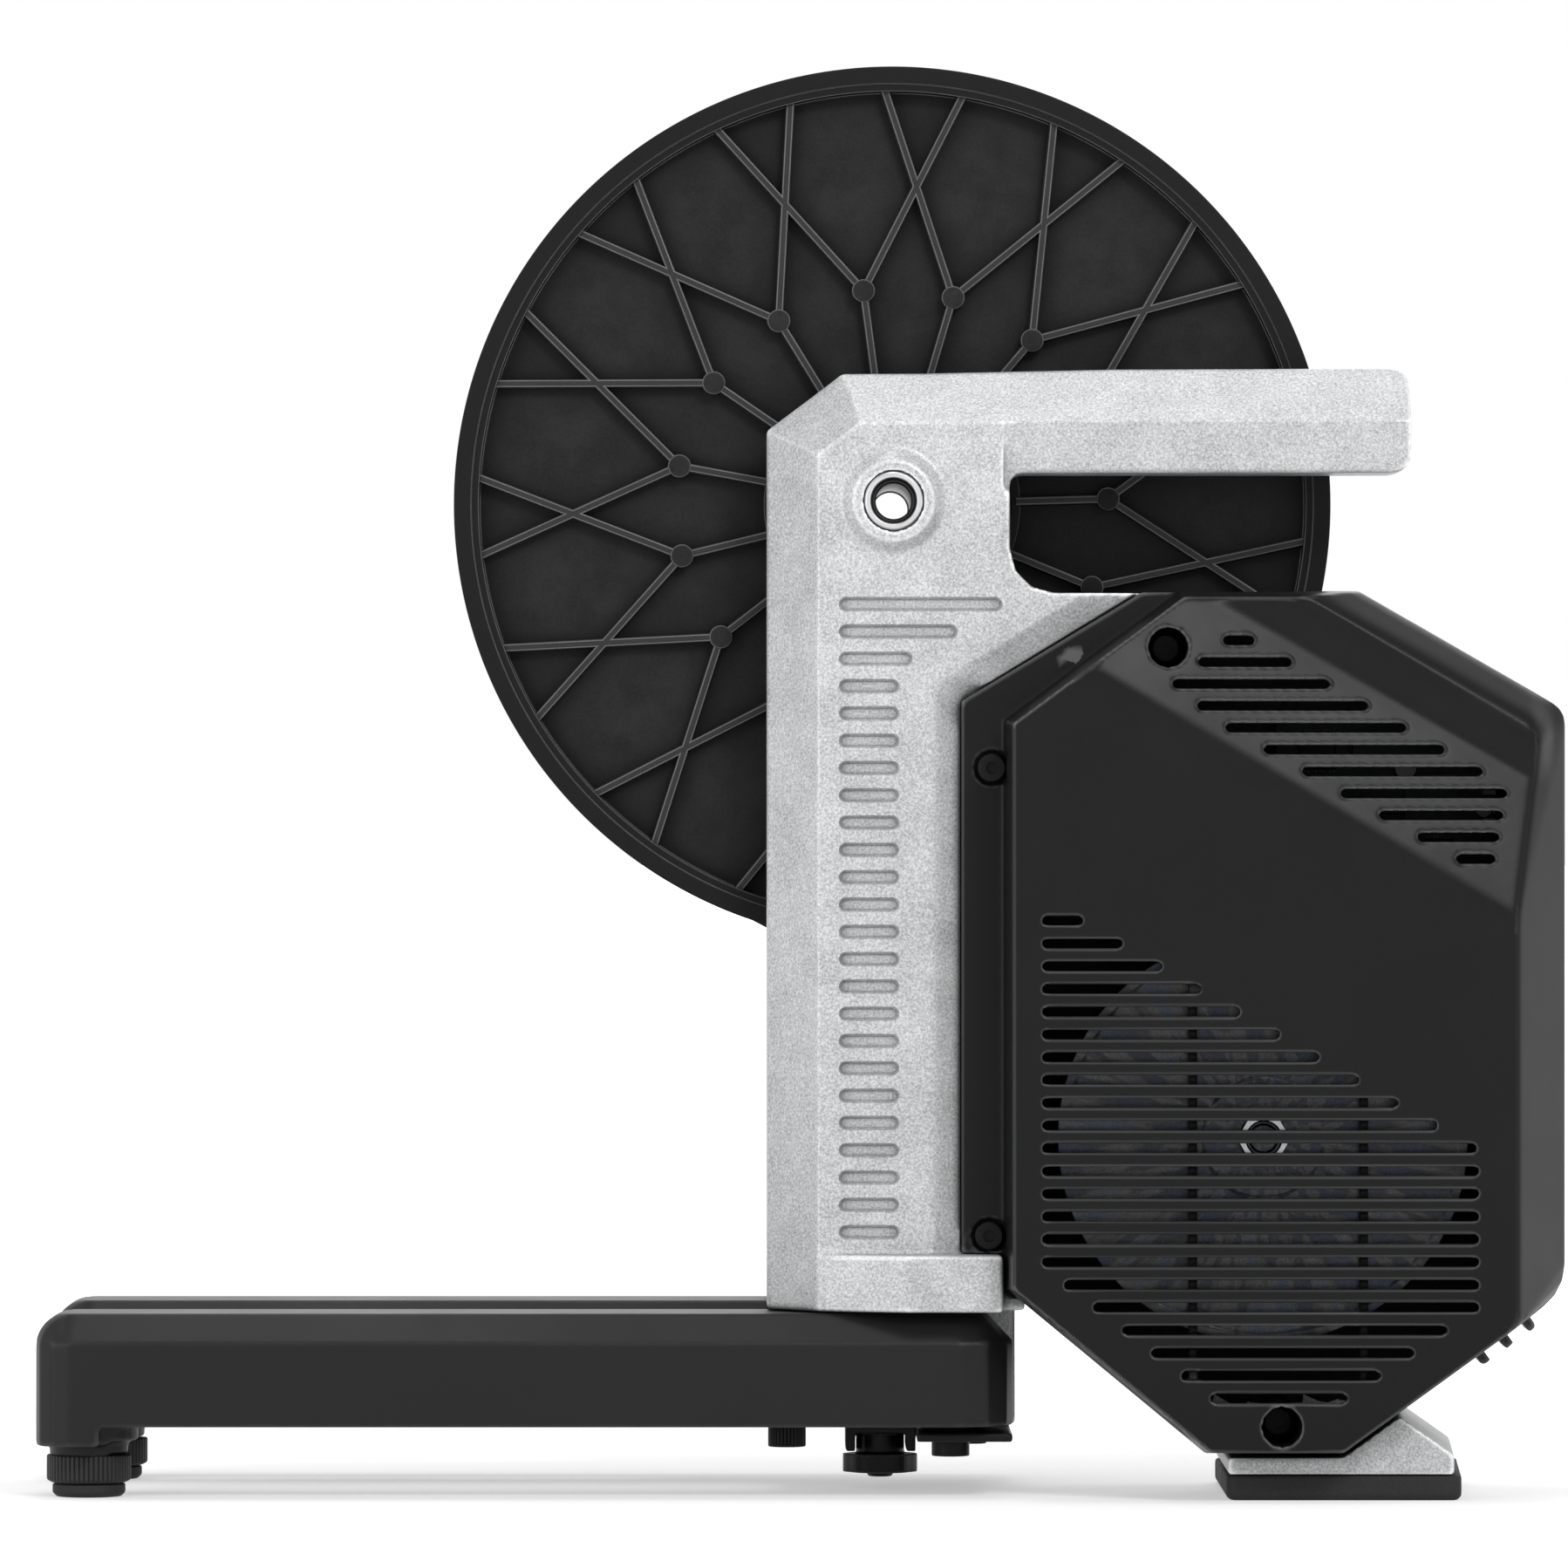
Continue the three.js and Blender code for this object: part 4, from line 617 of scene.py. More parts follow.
GROOVE_REGION = [(-18.7, 87.9), (1.9, 87.9), (1.9, 284.5), (43.9, 310.1), (-18.7, 310.1)]
GROOVES = rows_of(GROOVE_REGION, first=4.1, pitch=9.34, height=4.8)
BOSS_RING = [
    (10.25, 5.5), (13.3, 5.5), (13.8, 5.6), (14.2, 6.0), (17.3, 9.0), (18.1, 9.6), (19.3, 9.95),
    (20.2, 10.3), (20.2, 12.5), (10.25, 12.5),
]


def raised_grip(places):
    """The handle's top rises a little towards its end."""
    at = source_of(places)
    rise = np.interp(at[:, 0], [-30, 10, 75, 180], [-0.6, -0.4, 1.0, 1.4])
    at[:, 2] += rise * np.clip((at[:, 2] - 358) / 24, 0, 1)
    return row_of(at)


def seat_weight(places):
    """1 where the slopes round the cover's seat meet at its upper front corner, and less along them."""
    x, y, z = source_of(places).T
    corner = np.clip(1.6 - np.hypot(x - 20, z - 273) / 9, 0, 1)
    upright = 0.5 * np.clip((x - 9) / 3, 0, 1) * (x < 29) * (z > 92) * (z < 275)
    return np.maximum(corner, upright) * (y < 17)


def casting_part(at, facing):
    """1 behind the near cover's vents, which get painted shade, and 2 on the face that has the grooves."""
    x, y, z = at.T
    vented = (x > 45) & (y > 18.2) & (z > 31) & (z < np.where(x > 90, 301, 296))
    grooved = between(x, -23, 48) & between(y, 9, 13) & between(z, 84, 316)
    return np.where(vented, 1, np.where(grooved, 2, 0))


# The CAD's grooves are filled, and cut again with drafted sides once the casting is softened.
casting = joined(welded("frame_casting"), [slab(GROOVE_REGION, 9.99, 12.3)])
casting = softened(casting, 0.9, 2, 185_000, seat_weight, 45, raised_grip)
casting = joined(casting, [spun(BOSS_RING, row(0, -NEAR_Y, AXLE_Z), "y", 144, closed=True)])
casting = joined(casting, [pill(*groove, 2.9, 9.2, 12.2, 1.5) for groove in GROOVES], "DIFFERENCE")
casting.shade_smooth()
casting.set_sharp_from_angle(angle=math.radians(42))
parted(shown("casting_skin", casting, "frame_casting"), [INSIDE, SILVER_PLAIN], casting_part)

# Covers

CASE_EDGE = np.array((159.1, 310.5))
CASE_ALONG = np.array((0.869, -0.495))
SLOT_HEIGHT = 3.1
LOWER_REGION = [(49.9, 80.3), (109.7, 33.9), (150.6, 33.9), (198.5, 66.6), (198.5, 120.4), (49.9, 206.3)]
FACET_REGION = [(90.9, 275.7), (202.9, 211.9), (209.1, 243.7), (116.2, 296.9)]
LOWER_SLOTS = rows_of(LOWER_REGION, 8.2, 7.72, SLOT_HEIGHT)
FACET_SLOTS = rows_of(FACET_REGION, 3.6, 7.43, SLOT_HEIGHT)
COVER_RIBS = (101.4, 159.5)
RIB_REACH = 3

# The facet's front edge, inward from the case's edge, and the depths across the slope in the CAD and here
FACET_FRONT = 70.3
FLAT_SECTION = [0, 13.2, FACET_FRONT], [12, -4, -22]
ROLLED_SECTION = (
    [-20, 0, 2, 8, 9, 13.4, 14.4, 26.7, 33.6, FACET_FRONT, 100],
    [58, 10, 5.2, -5.0, -6.3, -8.1, -8.3, -7.9, -10.4, -22, -31.37],
)
SECTION_STEP, ROUNDING = 0.25, 1.7


def inward_of(at):
    """How far places lie inward from the case's upper rear edge."""
    across = at[:, [0, 2]] - CASE_EDGE
    return -(across @ np.array((-CASE_ALONG[1], CASE_ALONG[0])))


def rolled_edge(places):
    """Lays a valley and a rolled edge along the case's rear slope, where the CAD has a flat and a bevel."""
    at = source_of(places)
    inward = inward_of(at)
    flat = np.interp(inward, *FLAT_SECTION)
    across_edge = np.arange(-20, 100, SECTION_STEP)
    corners = np.interp(across_edge, *ROLLED_SECTION)
    spread = np.exp(-((np.arange(-24, 25) * SECTION_STEP / ROUNDING) ** 2))
    rounded = np.convolve(corners, spread / spread.sum(), "same")
    keep = np.interp(inward, [3, 7, 31, 36], [0, 1, 1, 0])
    sharp, soft = (np.interp(inward, across_edge, depths) for depths in (corners, rounded))
    shift = (1 - keep) * sharp + keep * soft - flat
    behind = np.clip((flat + 14 - at[:, 1]) / 10, 0, 1)
    rear_line = np.interp(at[:, 2], [199.4, 253.5, 263], [213.8, 222.5, 222])
    beside = np.clip((rear_line + 3 - at[:, 0]) / 7, 0, 1)
    inside = between(inward, -4, 40) & (at[:, 2] > 225)
    at[:, 1] += np.where(inside, shift * behind * beside, 0)
    return row_of(at)


def ridge_weight(places):
    """1 along the facet's rear edge, rounded wide at its top and narrower below, and along its front edge,
    and less on the slope's valley."""
    at = source_of(places)
    x, y, z = at.T
    rear_line = np.interp(z, [0, 199.4, 253.5, 266], [211.6, 213.0, 222.5, 222])
    reach = np.interp(z, [0, 195, 215, 250, 275], [2.2, 2.2, 6, 9, 9])
    rear = np.clip(1.4 - np.abs(x - rear_line) / reach, 0, 1)
    inward = inward_of(at)
    valley = 0.6 * np.clip(1.5 - np.abs(inward - 16) / 13, 0, 1) * (z > 200)
    front = np.clip(1.3 - np.abs(inward - FACET_FRONT) / 4.5, 0, 1) * (x > 60) * (y < -15)
    return np.maximum(np.maximum(rear, valley), front) * (y < 12)


def cover_part(at, facing):
    """True on the near cover's inner faces, which its vents show and which get painted shade."""
    x, y, z = at.T
    hidden = between(x, 45, 226) & (y < 45) & between(z, 22, 300)
    deep = (y > -17) & (facing[:, 1] > -0.2)
    behind = (y > -18.5) & between(x, 52, 205) & between(z, 36, 195)
    return hidden & (deep | behind)


# The CAD's upright ribs are cut back where the slots cross them.
rib_cuts = [
    pill(x - RIB_REACH, x + RIB_REACH, level, 1.54, -30, depth)
    for x in COVER_RIBS for slots, depth in ((LOWER_SLOTS, -16), (FACET_SLOTS, 10))
    for left, right, level in slots if left < x - RIB_REACH and x + RIB_REACH < right
]
cover = joined(welded("near_cover"), rib_cuts, "DIFFERENCE")
cover = softened(cover, 0.75, 2, 195_000, ridge_weight, 26, rolled_edge)
# The shaped slope narrows the facet's top slot, so it is cut once more.
cover = joined(cover, [pill(*FACET_SLOTS[0], 1.6, -30, 10)], "DIFFERENCE")
cover.shade_smooth()
parted(shown("near_cover_skin", cover, "near_cover"), [INSIDE], cover_part)
soft_copy("far_cover", "far_cover_skin", 1.0, 2, 130_000)

# Legs and small pieces


def tip_of(node_name):
    """A function that rounds a leg's upper front corner, a flat bevel in the CAD, and drops its tip."""
    at = places_of(NODES[node_name].data) / MM
    front, top = at[:, 0].min(), at[:, 2].max()
    corner_x = at[at[:, 2] > top - 0.1, 0].min()
    corner_z = at[at[:, 0] < front + 0.1, 2].max()
    run, rise = corner_x - front, top - corner_z

    def moved(places):
        at = places / MM
        across, up = (corner_x - at[:, 0]) / run, (at[:, 2] - corner_z) / rise
        inside = (across > 0) & (up > 0)
        reach = np.hypot(across, up) + 1e-9
        depth = np.clip(across + up, 0, 1) ** 2
        stretch = 1 + np.maximum((across + up) / reach - 1, 0) * depth * 0.8
        stretch = np.minimum(stretch, np.maximum(1 / reach, 1))
        at[:, 0] = np.where(inside, corner_x - across * stretch * run, at[:, 0])
        at[:, 2] = np.where(inside, corner_z + up * stretch * rise, at[:, 2])
        tip = np.clip((front + 26 - at[:, 0]) / 3, 0, 1) * np.clip((24 - at[:, 2]) / 4, 0, 1)
        at[:, 2] -= 1.2 * tip
        return at * MM
    return moved


for side in ("left", "right"):
    soft_copy(f"leg_{side}", f"leg_{side}_skin", 0.9, 2, 80_000, moved=tip_of(f"leg_{side}"))
soft_copy("leg_bracket", "bracket_skin", 0.7, 3, 40_000)
soft_copy("rear_foot_pad", "foot_pad_skin", 0.8, 2, 30_000)
soft_copy("lock_knob", "knob_skin", 0.45, 2, 30_000)
soft_copy("power_socket", "socket_skin", 0.4, 2, 12_000)
soft_copy("tensioner_bracket", "tensioner_skin", 0.6, 2, 20_000)
soft_copy("freehub_body", "freehub_skin", 0.5, 2, 50_000)
soft_copy("brake_core", "core_skin", 0.7, 2, 30_000)
for number in range(1, 7):
    soft_copy(f"brake_coil_{number}", f"coil_skin_{number}", 0.6, 3, 5_000)

# Large pulley: a turned rim, web and boss, with 15 nodes and their ribs on both faces

HUB = row(0, 0, AXLE_Z)
RIM_OUTER, RIM_INNER, RIM_LEDGE = 152.0, 143.3, 146.0
DISC_NEAR, DISC_FAR = 62.0, 82.0
WEB_NEAR, WEB_FAR = 70.5, 73.5
BOSS, BOSS_NEAR, BOSS_FAR, BOSS_BORE = 40.0, 70.0, 82.7, 24.3
GROOVE_FLOOR, GROOVE_WALL = 147.5, 2.4
SPOKES, NODE_CIRCLE, NODE_RADIUS = 15, 75.0, 4.0
RIB_SWING, RIB_TURN, RIB_FOOT_CIRCLE = 17.5, 1.6, 43.0


def polar(radius, degrees):
    angle = math.radians(degrees)
    return Vector((radius * math.cos(angle), radius * math.sin(angle)))


def rib(start, end, crest, root, half=1.3, foot=1.7, ease=0.5):
    """A rib between two places (x, z) from the disc's axis, with its crest rounded over."""
    along = (end - start).normalized()
    across = Vector((-along.y, along.x))
    down = ease if root > crest else -ease
    section = [
        (-foot, root), (-half, crest + down), (-half + ease * 0.3, crest + down * 0.3), (-half + ease, crest),
        (half - ease, crest), (half - ease * 0.3, crest + down * 0.3), (half, crest + down), (foot, root),
    ]
    made = bmesh.new()
    rings = [
        [made.verts.new(HUB + Vector((at.x, depth, at.y)) * MM)
         for at, depth in ((place + across * side, level) for side, level in section)]
        for place in (start, end)
    ]
    for k in range(len(section)):
        after = (k + 1) % len(section)
        made.faces.new((rings[0][k], rings[0][after], rings[1][after], rings[1][k]))
    made.faces.new(rings[0][::-1])
    made.faces.new(rings[1])
    return mesh_from(made)


def disc_ribs(crest, root):
    made = []
    rim = (RIM_INNER + RIM_LEDGE) / 2
    for i in range(SPOKES):
        angle = RIB_TURN + 360 * i / SPOKES
        centre = polar(NODE_CIRCLE, angle)
        ends = [polar(RIB_FOOT_CIRCLE, angle), polar(rim, angle - RIB_SWING), polar(rim, angle + RIB_SWING)]
        made += [rib(centre, end, crest, root) for end in ends]
        proud = crest - 0.5 if root > crest else crest + 0.5
        boss = [(0, root), (NODE_RADIUS + 0.2, root), (NODE_RADIUS, proud), (0, proud)]
        made.append(spun(filleted(boss, 0.8), HUB + Vector((centre.x, 0, centre.y)) * MM, "y", 28))
    return made


disc_profile = [
    (BOSS_BORE, BOSS_NEAR), (BOSS, BOSS_NEAR), (BOSS, WEB_NEAR), (RIM_INNER, WEB_NEAR),
    (RIM_INNER, DISC_NEAR + 1.0), (RIM_LEDGE, DISC_NEAR + 1.0), (RIM_LEDGE, DISC_NEAR),
    (RIM_OUTER, DISC_NEAR), (RIM_OUTER, DISC_NEAR + GROOVE_WALL), (GROOVE_FLOOR, DISC_NEAR + GROOVE_WALL),
    (GROOVE_FLOOR, DISC_FAR - GROOVE_WALL), (RIM_OUTER, DISC_FAR - GROOVE_WALL), (RIM_OUTER, DISC_FAR),
    (RIM_INNER, DISC_FAR), (RIM_INNER, WEB_FAR), (BOSS, WEB_FAR), (BOSS, BOSS_FAR), (BOSS_BORE, BOSS_FAR),
]
foot_ring = [(41.5, 66.0), (44.5, 66.0), (44.5, 71.5), (41.5, 71.5)]
far_ring = [(41.5, 72.5), (44.5, 72.5), (44.5, 79.0), (41.5, 79.0)]
disc_parts = disc_ribs(65.0, WEB_NEAR + 0.6) + disc_ribs(79.4, WEB_FAR - 0.6)
disc_parts += [spun(filleted(ring, 0.4, True), HUB, "y", 144, closed=True) for ring in (foot_ring, far_ring)]
disc = joined(spun(filleted(disc_profile, 0.75, True), HUB, "y", 288, closed=True), disc_parts)
BOLT_PLACES = [polar(32.0, 72 * i) for i in range(5)]
bolt_holes = [
    spun([(0, 60), (2.7, 60), (2.7, 90), (0, 90)], HUB + Vector((at.x, 0, at.y)) * MM, "y", 24)
    for at in BOLT_PLACES
]
disc = joined(disc, bolt_holes, "DIFFERENCE")
disc_piece = shown("disc_skin", crisp(disc, 35), "large_pulley")


def disc_part(at, facing):
    """1 on the ribs' sides, painted lighter, 2 on what is eased over, a painted highlight, 3 on the rim,
    painted darker, and 0 elsewhere.
    """
    reach = np.hypot(at[:, 0], at[:, 2] - AXLE_Z)
    tilt = np.abs(facing[:, 1])
    ribs = (reach > BOSS + 5) & (reach < RIM_INNER - 0.3) & ((at[:, 1] < 70.3) | (at[:, 1] > 73.7))
    eased = (tilt > 0.2) & (tilt < 0.97) & (reach > BOSS - 1) & (reach < RIM_OUTER - 2)
    crest = (at[:, 1] < 64.8) | (at[:, 1] > 79.7)
    rim = reach > RIM_INNER - 0.2
    return np.where(eased, 2, np.where(ribs & ~crest, 1, np.where(rim, 3, 0)))


parted(disc_piece, [DISC_RIB, DISC_EDGE_HIGHLIGHT, DISC_RIM], disc_part)

# Axle, hub and bearings


def bored(piece, reach):
    """Gives the bore's painted shade to what lies that near to the axle's middle."""
    parted(piece, [CAP_BORE], lambda at, facing: np.hypot(at[:, 0], at[:, 2] - AXLE_Z) < reach)


bored(turned_piece(
    "axle_cap_near", "axle_cap_left",
    [(7.7, 5.6), (8.2, 5), (9.4, 5), (10, 5.6), (10, 17), (6.1, 17), (6.1, 12.2), (6.6, 11.6), (7.2, 11.6),
     (7.2, 9.2), (7.7, 8.8)],
    HUB, fillet=0.2, material=AXLE_STEEL), 7.75)
bored(turned_piece(
    "axle_cap_far", "axle_cap_right",
    [(6.1, 136.3), (12, 136.3), (12, 146.4), (11.4, 147), (8.2, 147), (7.7, 146.4), (7.7, 141), (6.1, 141)],
    HUB, fillet=0.2, material=AXLE_STEEL), 7.75)
bored(turned_piece(
    "axle_tube", "axle_shaft",
    [(6.6, 17.3), (10, 17.3), (10, 52.3), (14, 52.3), (14, 55.3), (10, 55.3), (10, 136), (6.6, 136)],
    HUB, material=AXLE_STEEL), 6.7)
hub_profile = [
    (18.8, 56.5), (24, 56.5), (24, 83), (40, 83), (40, 88), (24, 88), (24, 98), (18.8, 98), (18.8, 88.2),
    (16, 88.2), (16, 66.3), (18.8, 66.3),
]
turned_piece("hub", "hub_shell", hub_profile, HUB, fillet=0.7, cuts=bolt_holes)


def bearing(name, node_name, inner, outer, start, width, centre, segments=72):
    """Races with a shield set in between them."""
    step = (outer - inner) / 4
    inset = 0.5
    end = start + width
    profile = [
        (inner, start), (inner + step, start), (inner + step, start + inset), (outer - step, start + inset),
        (outer - step, start), (outer, start), (outer, end), (outer - step, end), (outer - step, end - inset),
        (inner + step, end - inset), (inner + step, end), (inner, end),
    ]
    turned_piece(name, node_name, profile, centre, segments=segments, fillet=0.25)


bearing("hub_race_near", "hub_bearing_left", 10.3, 18.5, 57, 9, HUB)
bearing("hub_race_far", "hub_bearing_right", 10.3, 18.5, 88.5, 9, HUB)
bearing("freehub_race_inner", "freehub_bearing_inner", 10.3, 14, 99.3, 5.7, HUB)
bearing("freehub_race_outer", "freehub_bearing_outer", 10.3, 14, 130, 5.7, HUB)

# Flywheel, its shaft, nut, bearings and pulley

FLYWHEEL_HUB = row(FLYWHEEL_X, 0, FLYWHEEL_Z)
flywheel_profile = [
    (7.8, -10), (20, -10), (21, -9.7), (66, -9.7), (67, -10), (70, -10),
    (70, 30), (48, 30), (48, 0), (14, 0), (14, 7), (7.8, 7),
]
turned_piece("flywheel_skin", "flywheel", flywheel_profile, FLYWHEEL_HUB, segments=240, fillet=0.5,
             material=FLYWHEEL)
turned_piece("flywheel_axle", "flywheel_shaft",
             [(0, -13.4), (4.6, -13.4), (5, -15), (6, -15), (6, -10), (7.5, -10), (7.5, 86), (0, 86)],
             FLYWHEEL_HUB, closed=False, segments=64, material=FLYWHEEL)
nut_bore = spun([(0, -24), (6.3, -24), (6.3, 0), (0, 0)], FLYWHEEL_HUB, "y", 48)
nut_outer = spun([(0, -16.8), (9, -16.8), (9, -10.3), (0, -10.3)], FLYWHEEL_HUB, "y", 6)
nut_round = spun(filleted([(0, -16.8), (8.9, -16.8), (9.6, -14), (9.6, -10.3), (0, -10.3)], 0.4),
                 FLYWHEEL_HUB, "y", 96)
nut = joined(joined(nut_outer, [nut_round], "INTERSECT"), [nut_bore], "DIFFERENCE")
shown("flywheel_nut_skin", crisp(nut, 25), "flywheel_nut", NUT_STEEL)
bearing("flywheel_race_near", "flywheel_bearing_near", 7.8, 17.5, 12, 11, FLYWHEEL_HUB)
bearing("flywheel_race_far", "flywheel_bearing_far", 7.8, 17.5, 47, 11, FLYWHEEL_HUB)
turned_piece("small_pulley_skin", "small_pulley",
             [(7.8, 62), (17, 62), (17, 64.4), (12.7, 64.4), (12.7, 79.6), (17, 79.6), (17, 82), (7.8, 82)],
             FLYWHEEL_HUB)
idler_low, idler_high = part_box("idler_pulley")
IDLER = Vector(((idler_low.x + idler_high.x) / 2, NEAR_Y * MM, (idler_low.z + idler_high.z) / 2))
idler_profile = [
    (5.3, 62), (8, 62), (8.6, 62.6), (13.4, 62.6), (14, 62), (16, 62), (16, 82), (14, 82), (13.4, 81.4),
    (8.6, 81.4), (8, 82), (5.3, 82),
]
turned_piece("idler_skin", "idler_pulley", idler_profile, IDLER)

# Feet


def grooved(count, depth, least):
    """Upright grooves round the parts of a piece that reach past a radius."""
    def wave(radius, angle):
        return -depth * max(0.0, math.cos(count * angle)) ** 2 if radius > least else 0
    return wave


PIVOT_X, FOOT_REACH, STOP_REACH = 19.7, 295.9, 56.2
for side, y in (("left", 26), ("right", 126)):
    foot = row(PIVOT_X - FOOT_REACH, y, 0)
    wheel = [(0, 4.7), (12.4, 4.7), (14.5, 5.8), (14.5, 14.4), (5, 14.4), (5, 44), (0, 44)]
    turned_piece(f"wheel_skin_{side}", f"foot_wheel_{side}", wheel, foot, "z", 432, 0.7, False,
                 grooved(54, 0.5, 13.4), material=KNURL)
    pad = [(0, 0), (11, 0), (12.5, 1.4), (12.5, 4.4), (0, 4.4)]
    turned_piece(f"pad_skin_{side}", f"foot_pad_{side}", pad, foot, "z", 96, 0.6, False)
    stop = row(PIVOT_X - STOP_REACH, y, 0)
    head = [(0, 17), (6.5, 17), (6.5, 24.6), (4, 24.6), (4, 52.9), (0, 52.9)]
    turned_piece(f"stop_screw_{side}", f"leg_stop_screw_{side}", head, stop, "z", 288, 0.6, False,
                 grooved(32, 0.35, 5.8))

# Screws


def hexagon(centre, axis, radius, start, end):
    return spun([(0, start), (radius, start), (radius, end), (0, end)], centre, axis, 6)


def screw(name, node_name, centre, axis, seat, facing, radius=4.8, height=3.5, shank=2.4, length=15, key=2.3):
    """A socket head screw whose head stands on a seat, on the side that facing gives."""
    top = seat + facing * height
    profile = [(0, top), (radius, top), (radius, seat), (shank, seat), (shank, seat - facing * length),
               (0, seat - facing * length)]
    socket = hexagon(centre, axis, key, top + facing, top - facing * height * 0.5)
    turned_piece(name, node_name, profile, centre, axis, 64, 0.55, False, None, [socket])


def box_of(node_name, axis):
    """A node's box, and the box's middle with nothing along an axis."""
    low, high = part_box(node_name)
    middle = (low + high) / 2
    middle["xyz".index(axis)] = 0
    return low, high, middle


HEAD, PIVOT_HEAD = 3.5, 5.4
for i, node_name in enumerate(n for n in sorted(NODES) if n.startswith("cover_screw")):
    low, high, middle = box_of(node_name, "y")
    screw(f"near_screw_{i + 1}", node_name, middle, "y", low.y / MM + HEAD, -1)
for i, node_name in enumerate(n for n in sorted(NODES) if n.startswith("far_cover_screw")):
    low, high, middle = box_of(node_name, "y")
    screw(f"far_screw_{i + 1}", node_name, middle, "y", high.y / MM - HEAD, 1)
low, high, middle = box_of("tensioner_bolt", "y")
screw("tensioner_screw", "tensioner_bolt", middle, "y", high.y / MM - HEAD, 1)
for i in (1, 2):
    low, high, middle = box_of(f"bracket_screw_{i}", "z")
    screw(f"plate_screw_{i}", f"bracket_screw_{i}", middle, "z", low.z / MM + HEAD, -1)
for side in ("left", "right"):
    low, high, middle = box_of(f"leg_pivot_screw_{side}", "z")
    screw(f"pivot_screw_{side}", f"leg_pivot_screw_{side}", middle, "z", low.z / MM + PIVOT_HEAD, -1, 6.5,
          PIVOT_HEAD, 4, (high.z - low.z) / MM - PIVOT_HEAD, 3)
for i, at in enumerate(BOLT_PLACES):
    place = HUB + Vector((at.x, 0, at.y)) * MM
    place.y = NEAR_Y * MM
    screw(f"disc_bolt_{i + 1}", f"pulley_bolt_{i + 1}", place, "y", 69.7, -1, 4.4, 3.5, 2.4, 18.3)

# Belt: a fine loop with its ribs inside

BELT_NEAR, BELT_FAR, BELT_INNER, SMALL_INNER, BELT_THICK = 64.9, 79.1, 147.8, 13.0, 2.4


def belt_mesh():
    """The loop round both pulleys, as a section of outer back and ribbed inside carried along it."""
    big = Vector((0, AXLE_Z))
    little = Vector((FLYWHEEL_X, FLYWHEEL_Z))
    span = little - big
    facing = math.atan2(span.y, span.x)
    spread = math.acos((BELT_INNER - SMALL_INNER) / span.length)
    course = []
    big_steps, little_steps = 160, 24
    for k in range(big_steps + 1):
        angle = facing + spread + (2 * math.pi - 2 * spread) * k / big_steps
        course.append((big, BELT_INNER, angle))
    for k in range(little_steps + 1):
        angle = facing - spread + 2 * spread * k / little_steps
        course.append((little, SMALL_INNER, angle))
    ribs = 6
    pitch = (BELT_FAR - BELT_NEAR) / ribs
    section = [(BELT_NEAR, BELT_THICK), (BELT_FAR, BELT_THICK)]
    for k in range(ribs, 0, -1):
        section += [(BELT_NEAR + k * pitch - 0.3, 0.9), (BELT_NEAR + (k - 0.5) * pitch + 0.5, 0.05),
                    (BELT_NEAR + (k - 0.5) * pitch - 0.5, 0.05), (BELT_NEAR + (k - 1) * pitch + 0.3, 0.9)]
    made = bmesh.new()
    rings = [
        [made.verts.new(row(centre.x + (reach + out) * math.cos(angle), depth,
                            centre.y + (reach + out) * math.sin(angle))) for depth, out in section]
        for centre, reach, angle in course
    ]
    for k in range(len(rings)):
        first, second = rings[k], rings[(k + 1) % len(rings)]
        for j in range(len(section)):
            after = (j + 1) % len(section)
            made.faces.new((first[j], first[after], second[after], second[j]))
    return mesh_from(made)


shown("belt_loop", crisp(belt_mesh(), 30), "drive_belt")

# Circuit board: chips with legs, capacitors, small parts and two rows of blocks on its near side

BOARD_NEAR = 34.0
PIN_PITCH = 1.27
SMALL_PARTS = 46


def block(x, z, width, height, depth):
    """A moulded package on the board, with its top edges drawn in."""
    made = bmesh.new()
    rings = []
    for level, inset in ((BOARD_NEAR + 0.1, 0), (BOARD_NEAR - depth * 0.6, 0), (BOARD_NEAR - depth, 0.35)):
        rings.append([
            made.verts.new(row(x + sx * (width / 2 - inset), level, z + sz * (height / 2 - inset)))
            for sx, sz in ((-1, -1), (1, -1), (1, 1), (-1, 1))
        ])
    for first, second in zip(rings, rings[1:]):
        for k in range(4):
            made.faces.new((first[k], first[(k + 1) % 4], second[(k + 1) % 4], second[k]))
    made.faces.new(rings[0])
    made.faces.new(rings[-1])
    return mesh_from(made)


def together(meshes):
    """One mesh of separate parts."""
    made = bmesh.new()
    for mesh in meshes:
        made.from_mesh(mesh)
    mesh = bpy.data.meshes.new("together")
    made.to_mesh(mesh)
    made.free()
    return mesh


dice = np.random.default_rng(7)
chips, pins, cans = [], [], []
for x, z, width, height in ((146, 256, 13, 13), (170, 230, 16, 9), (196, 258, 9, 12), (188, 222, 10, 7)):
    chips.append(block(x, z, width, height, 1.6))
    for k in range(int(width / PIN_PITCH)):
        for side in (-1, 1):
            pin_x = x - width / 2 + 0.8 + PIN_PITCH * k
            pins.append(block(pin_x, z + side * (height / 2 + 0.6), 0.5, 1.3, 0.5))
for x, z, radius, height in ((164, 255, 4, 9), (176, 250, 4, 9), (150, 222, 3.2, 7), (203, 236, 3.2, 6)):
    centre = row(x, 0, z)
    centre.y = NEAR_Y * MM
    can = [(0, BOARD_NEAR - height), (radius - 0.4, BOARD_NEAR - height), (radius, BOARD_NEAR - height + 0.5),
           (radius, BOARD_NEAR - 1.6), (radius - 0.3, BOARD_NEAR - 1.2), (radius, BOARD_NEAR - 0.8),
           (radius, BOARD_NEAR + 0.1), (0, BOARD_NEAR + 0.1)]
    cans.append(spun(can, centre, "y", 40))
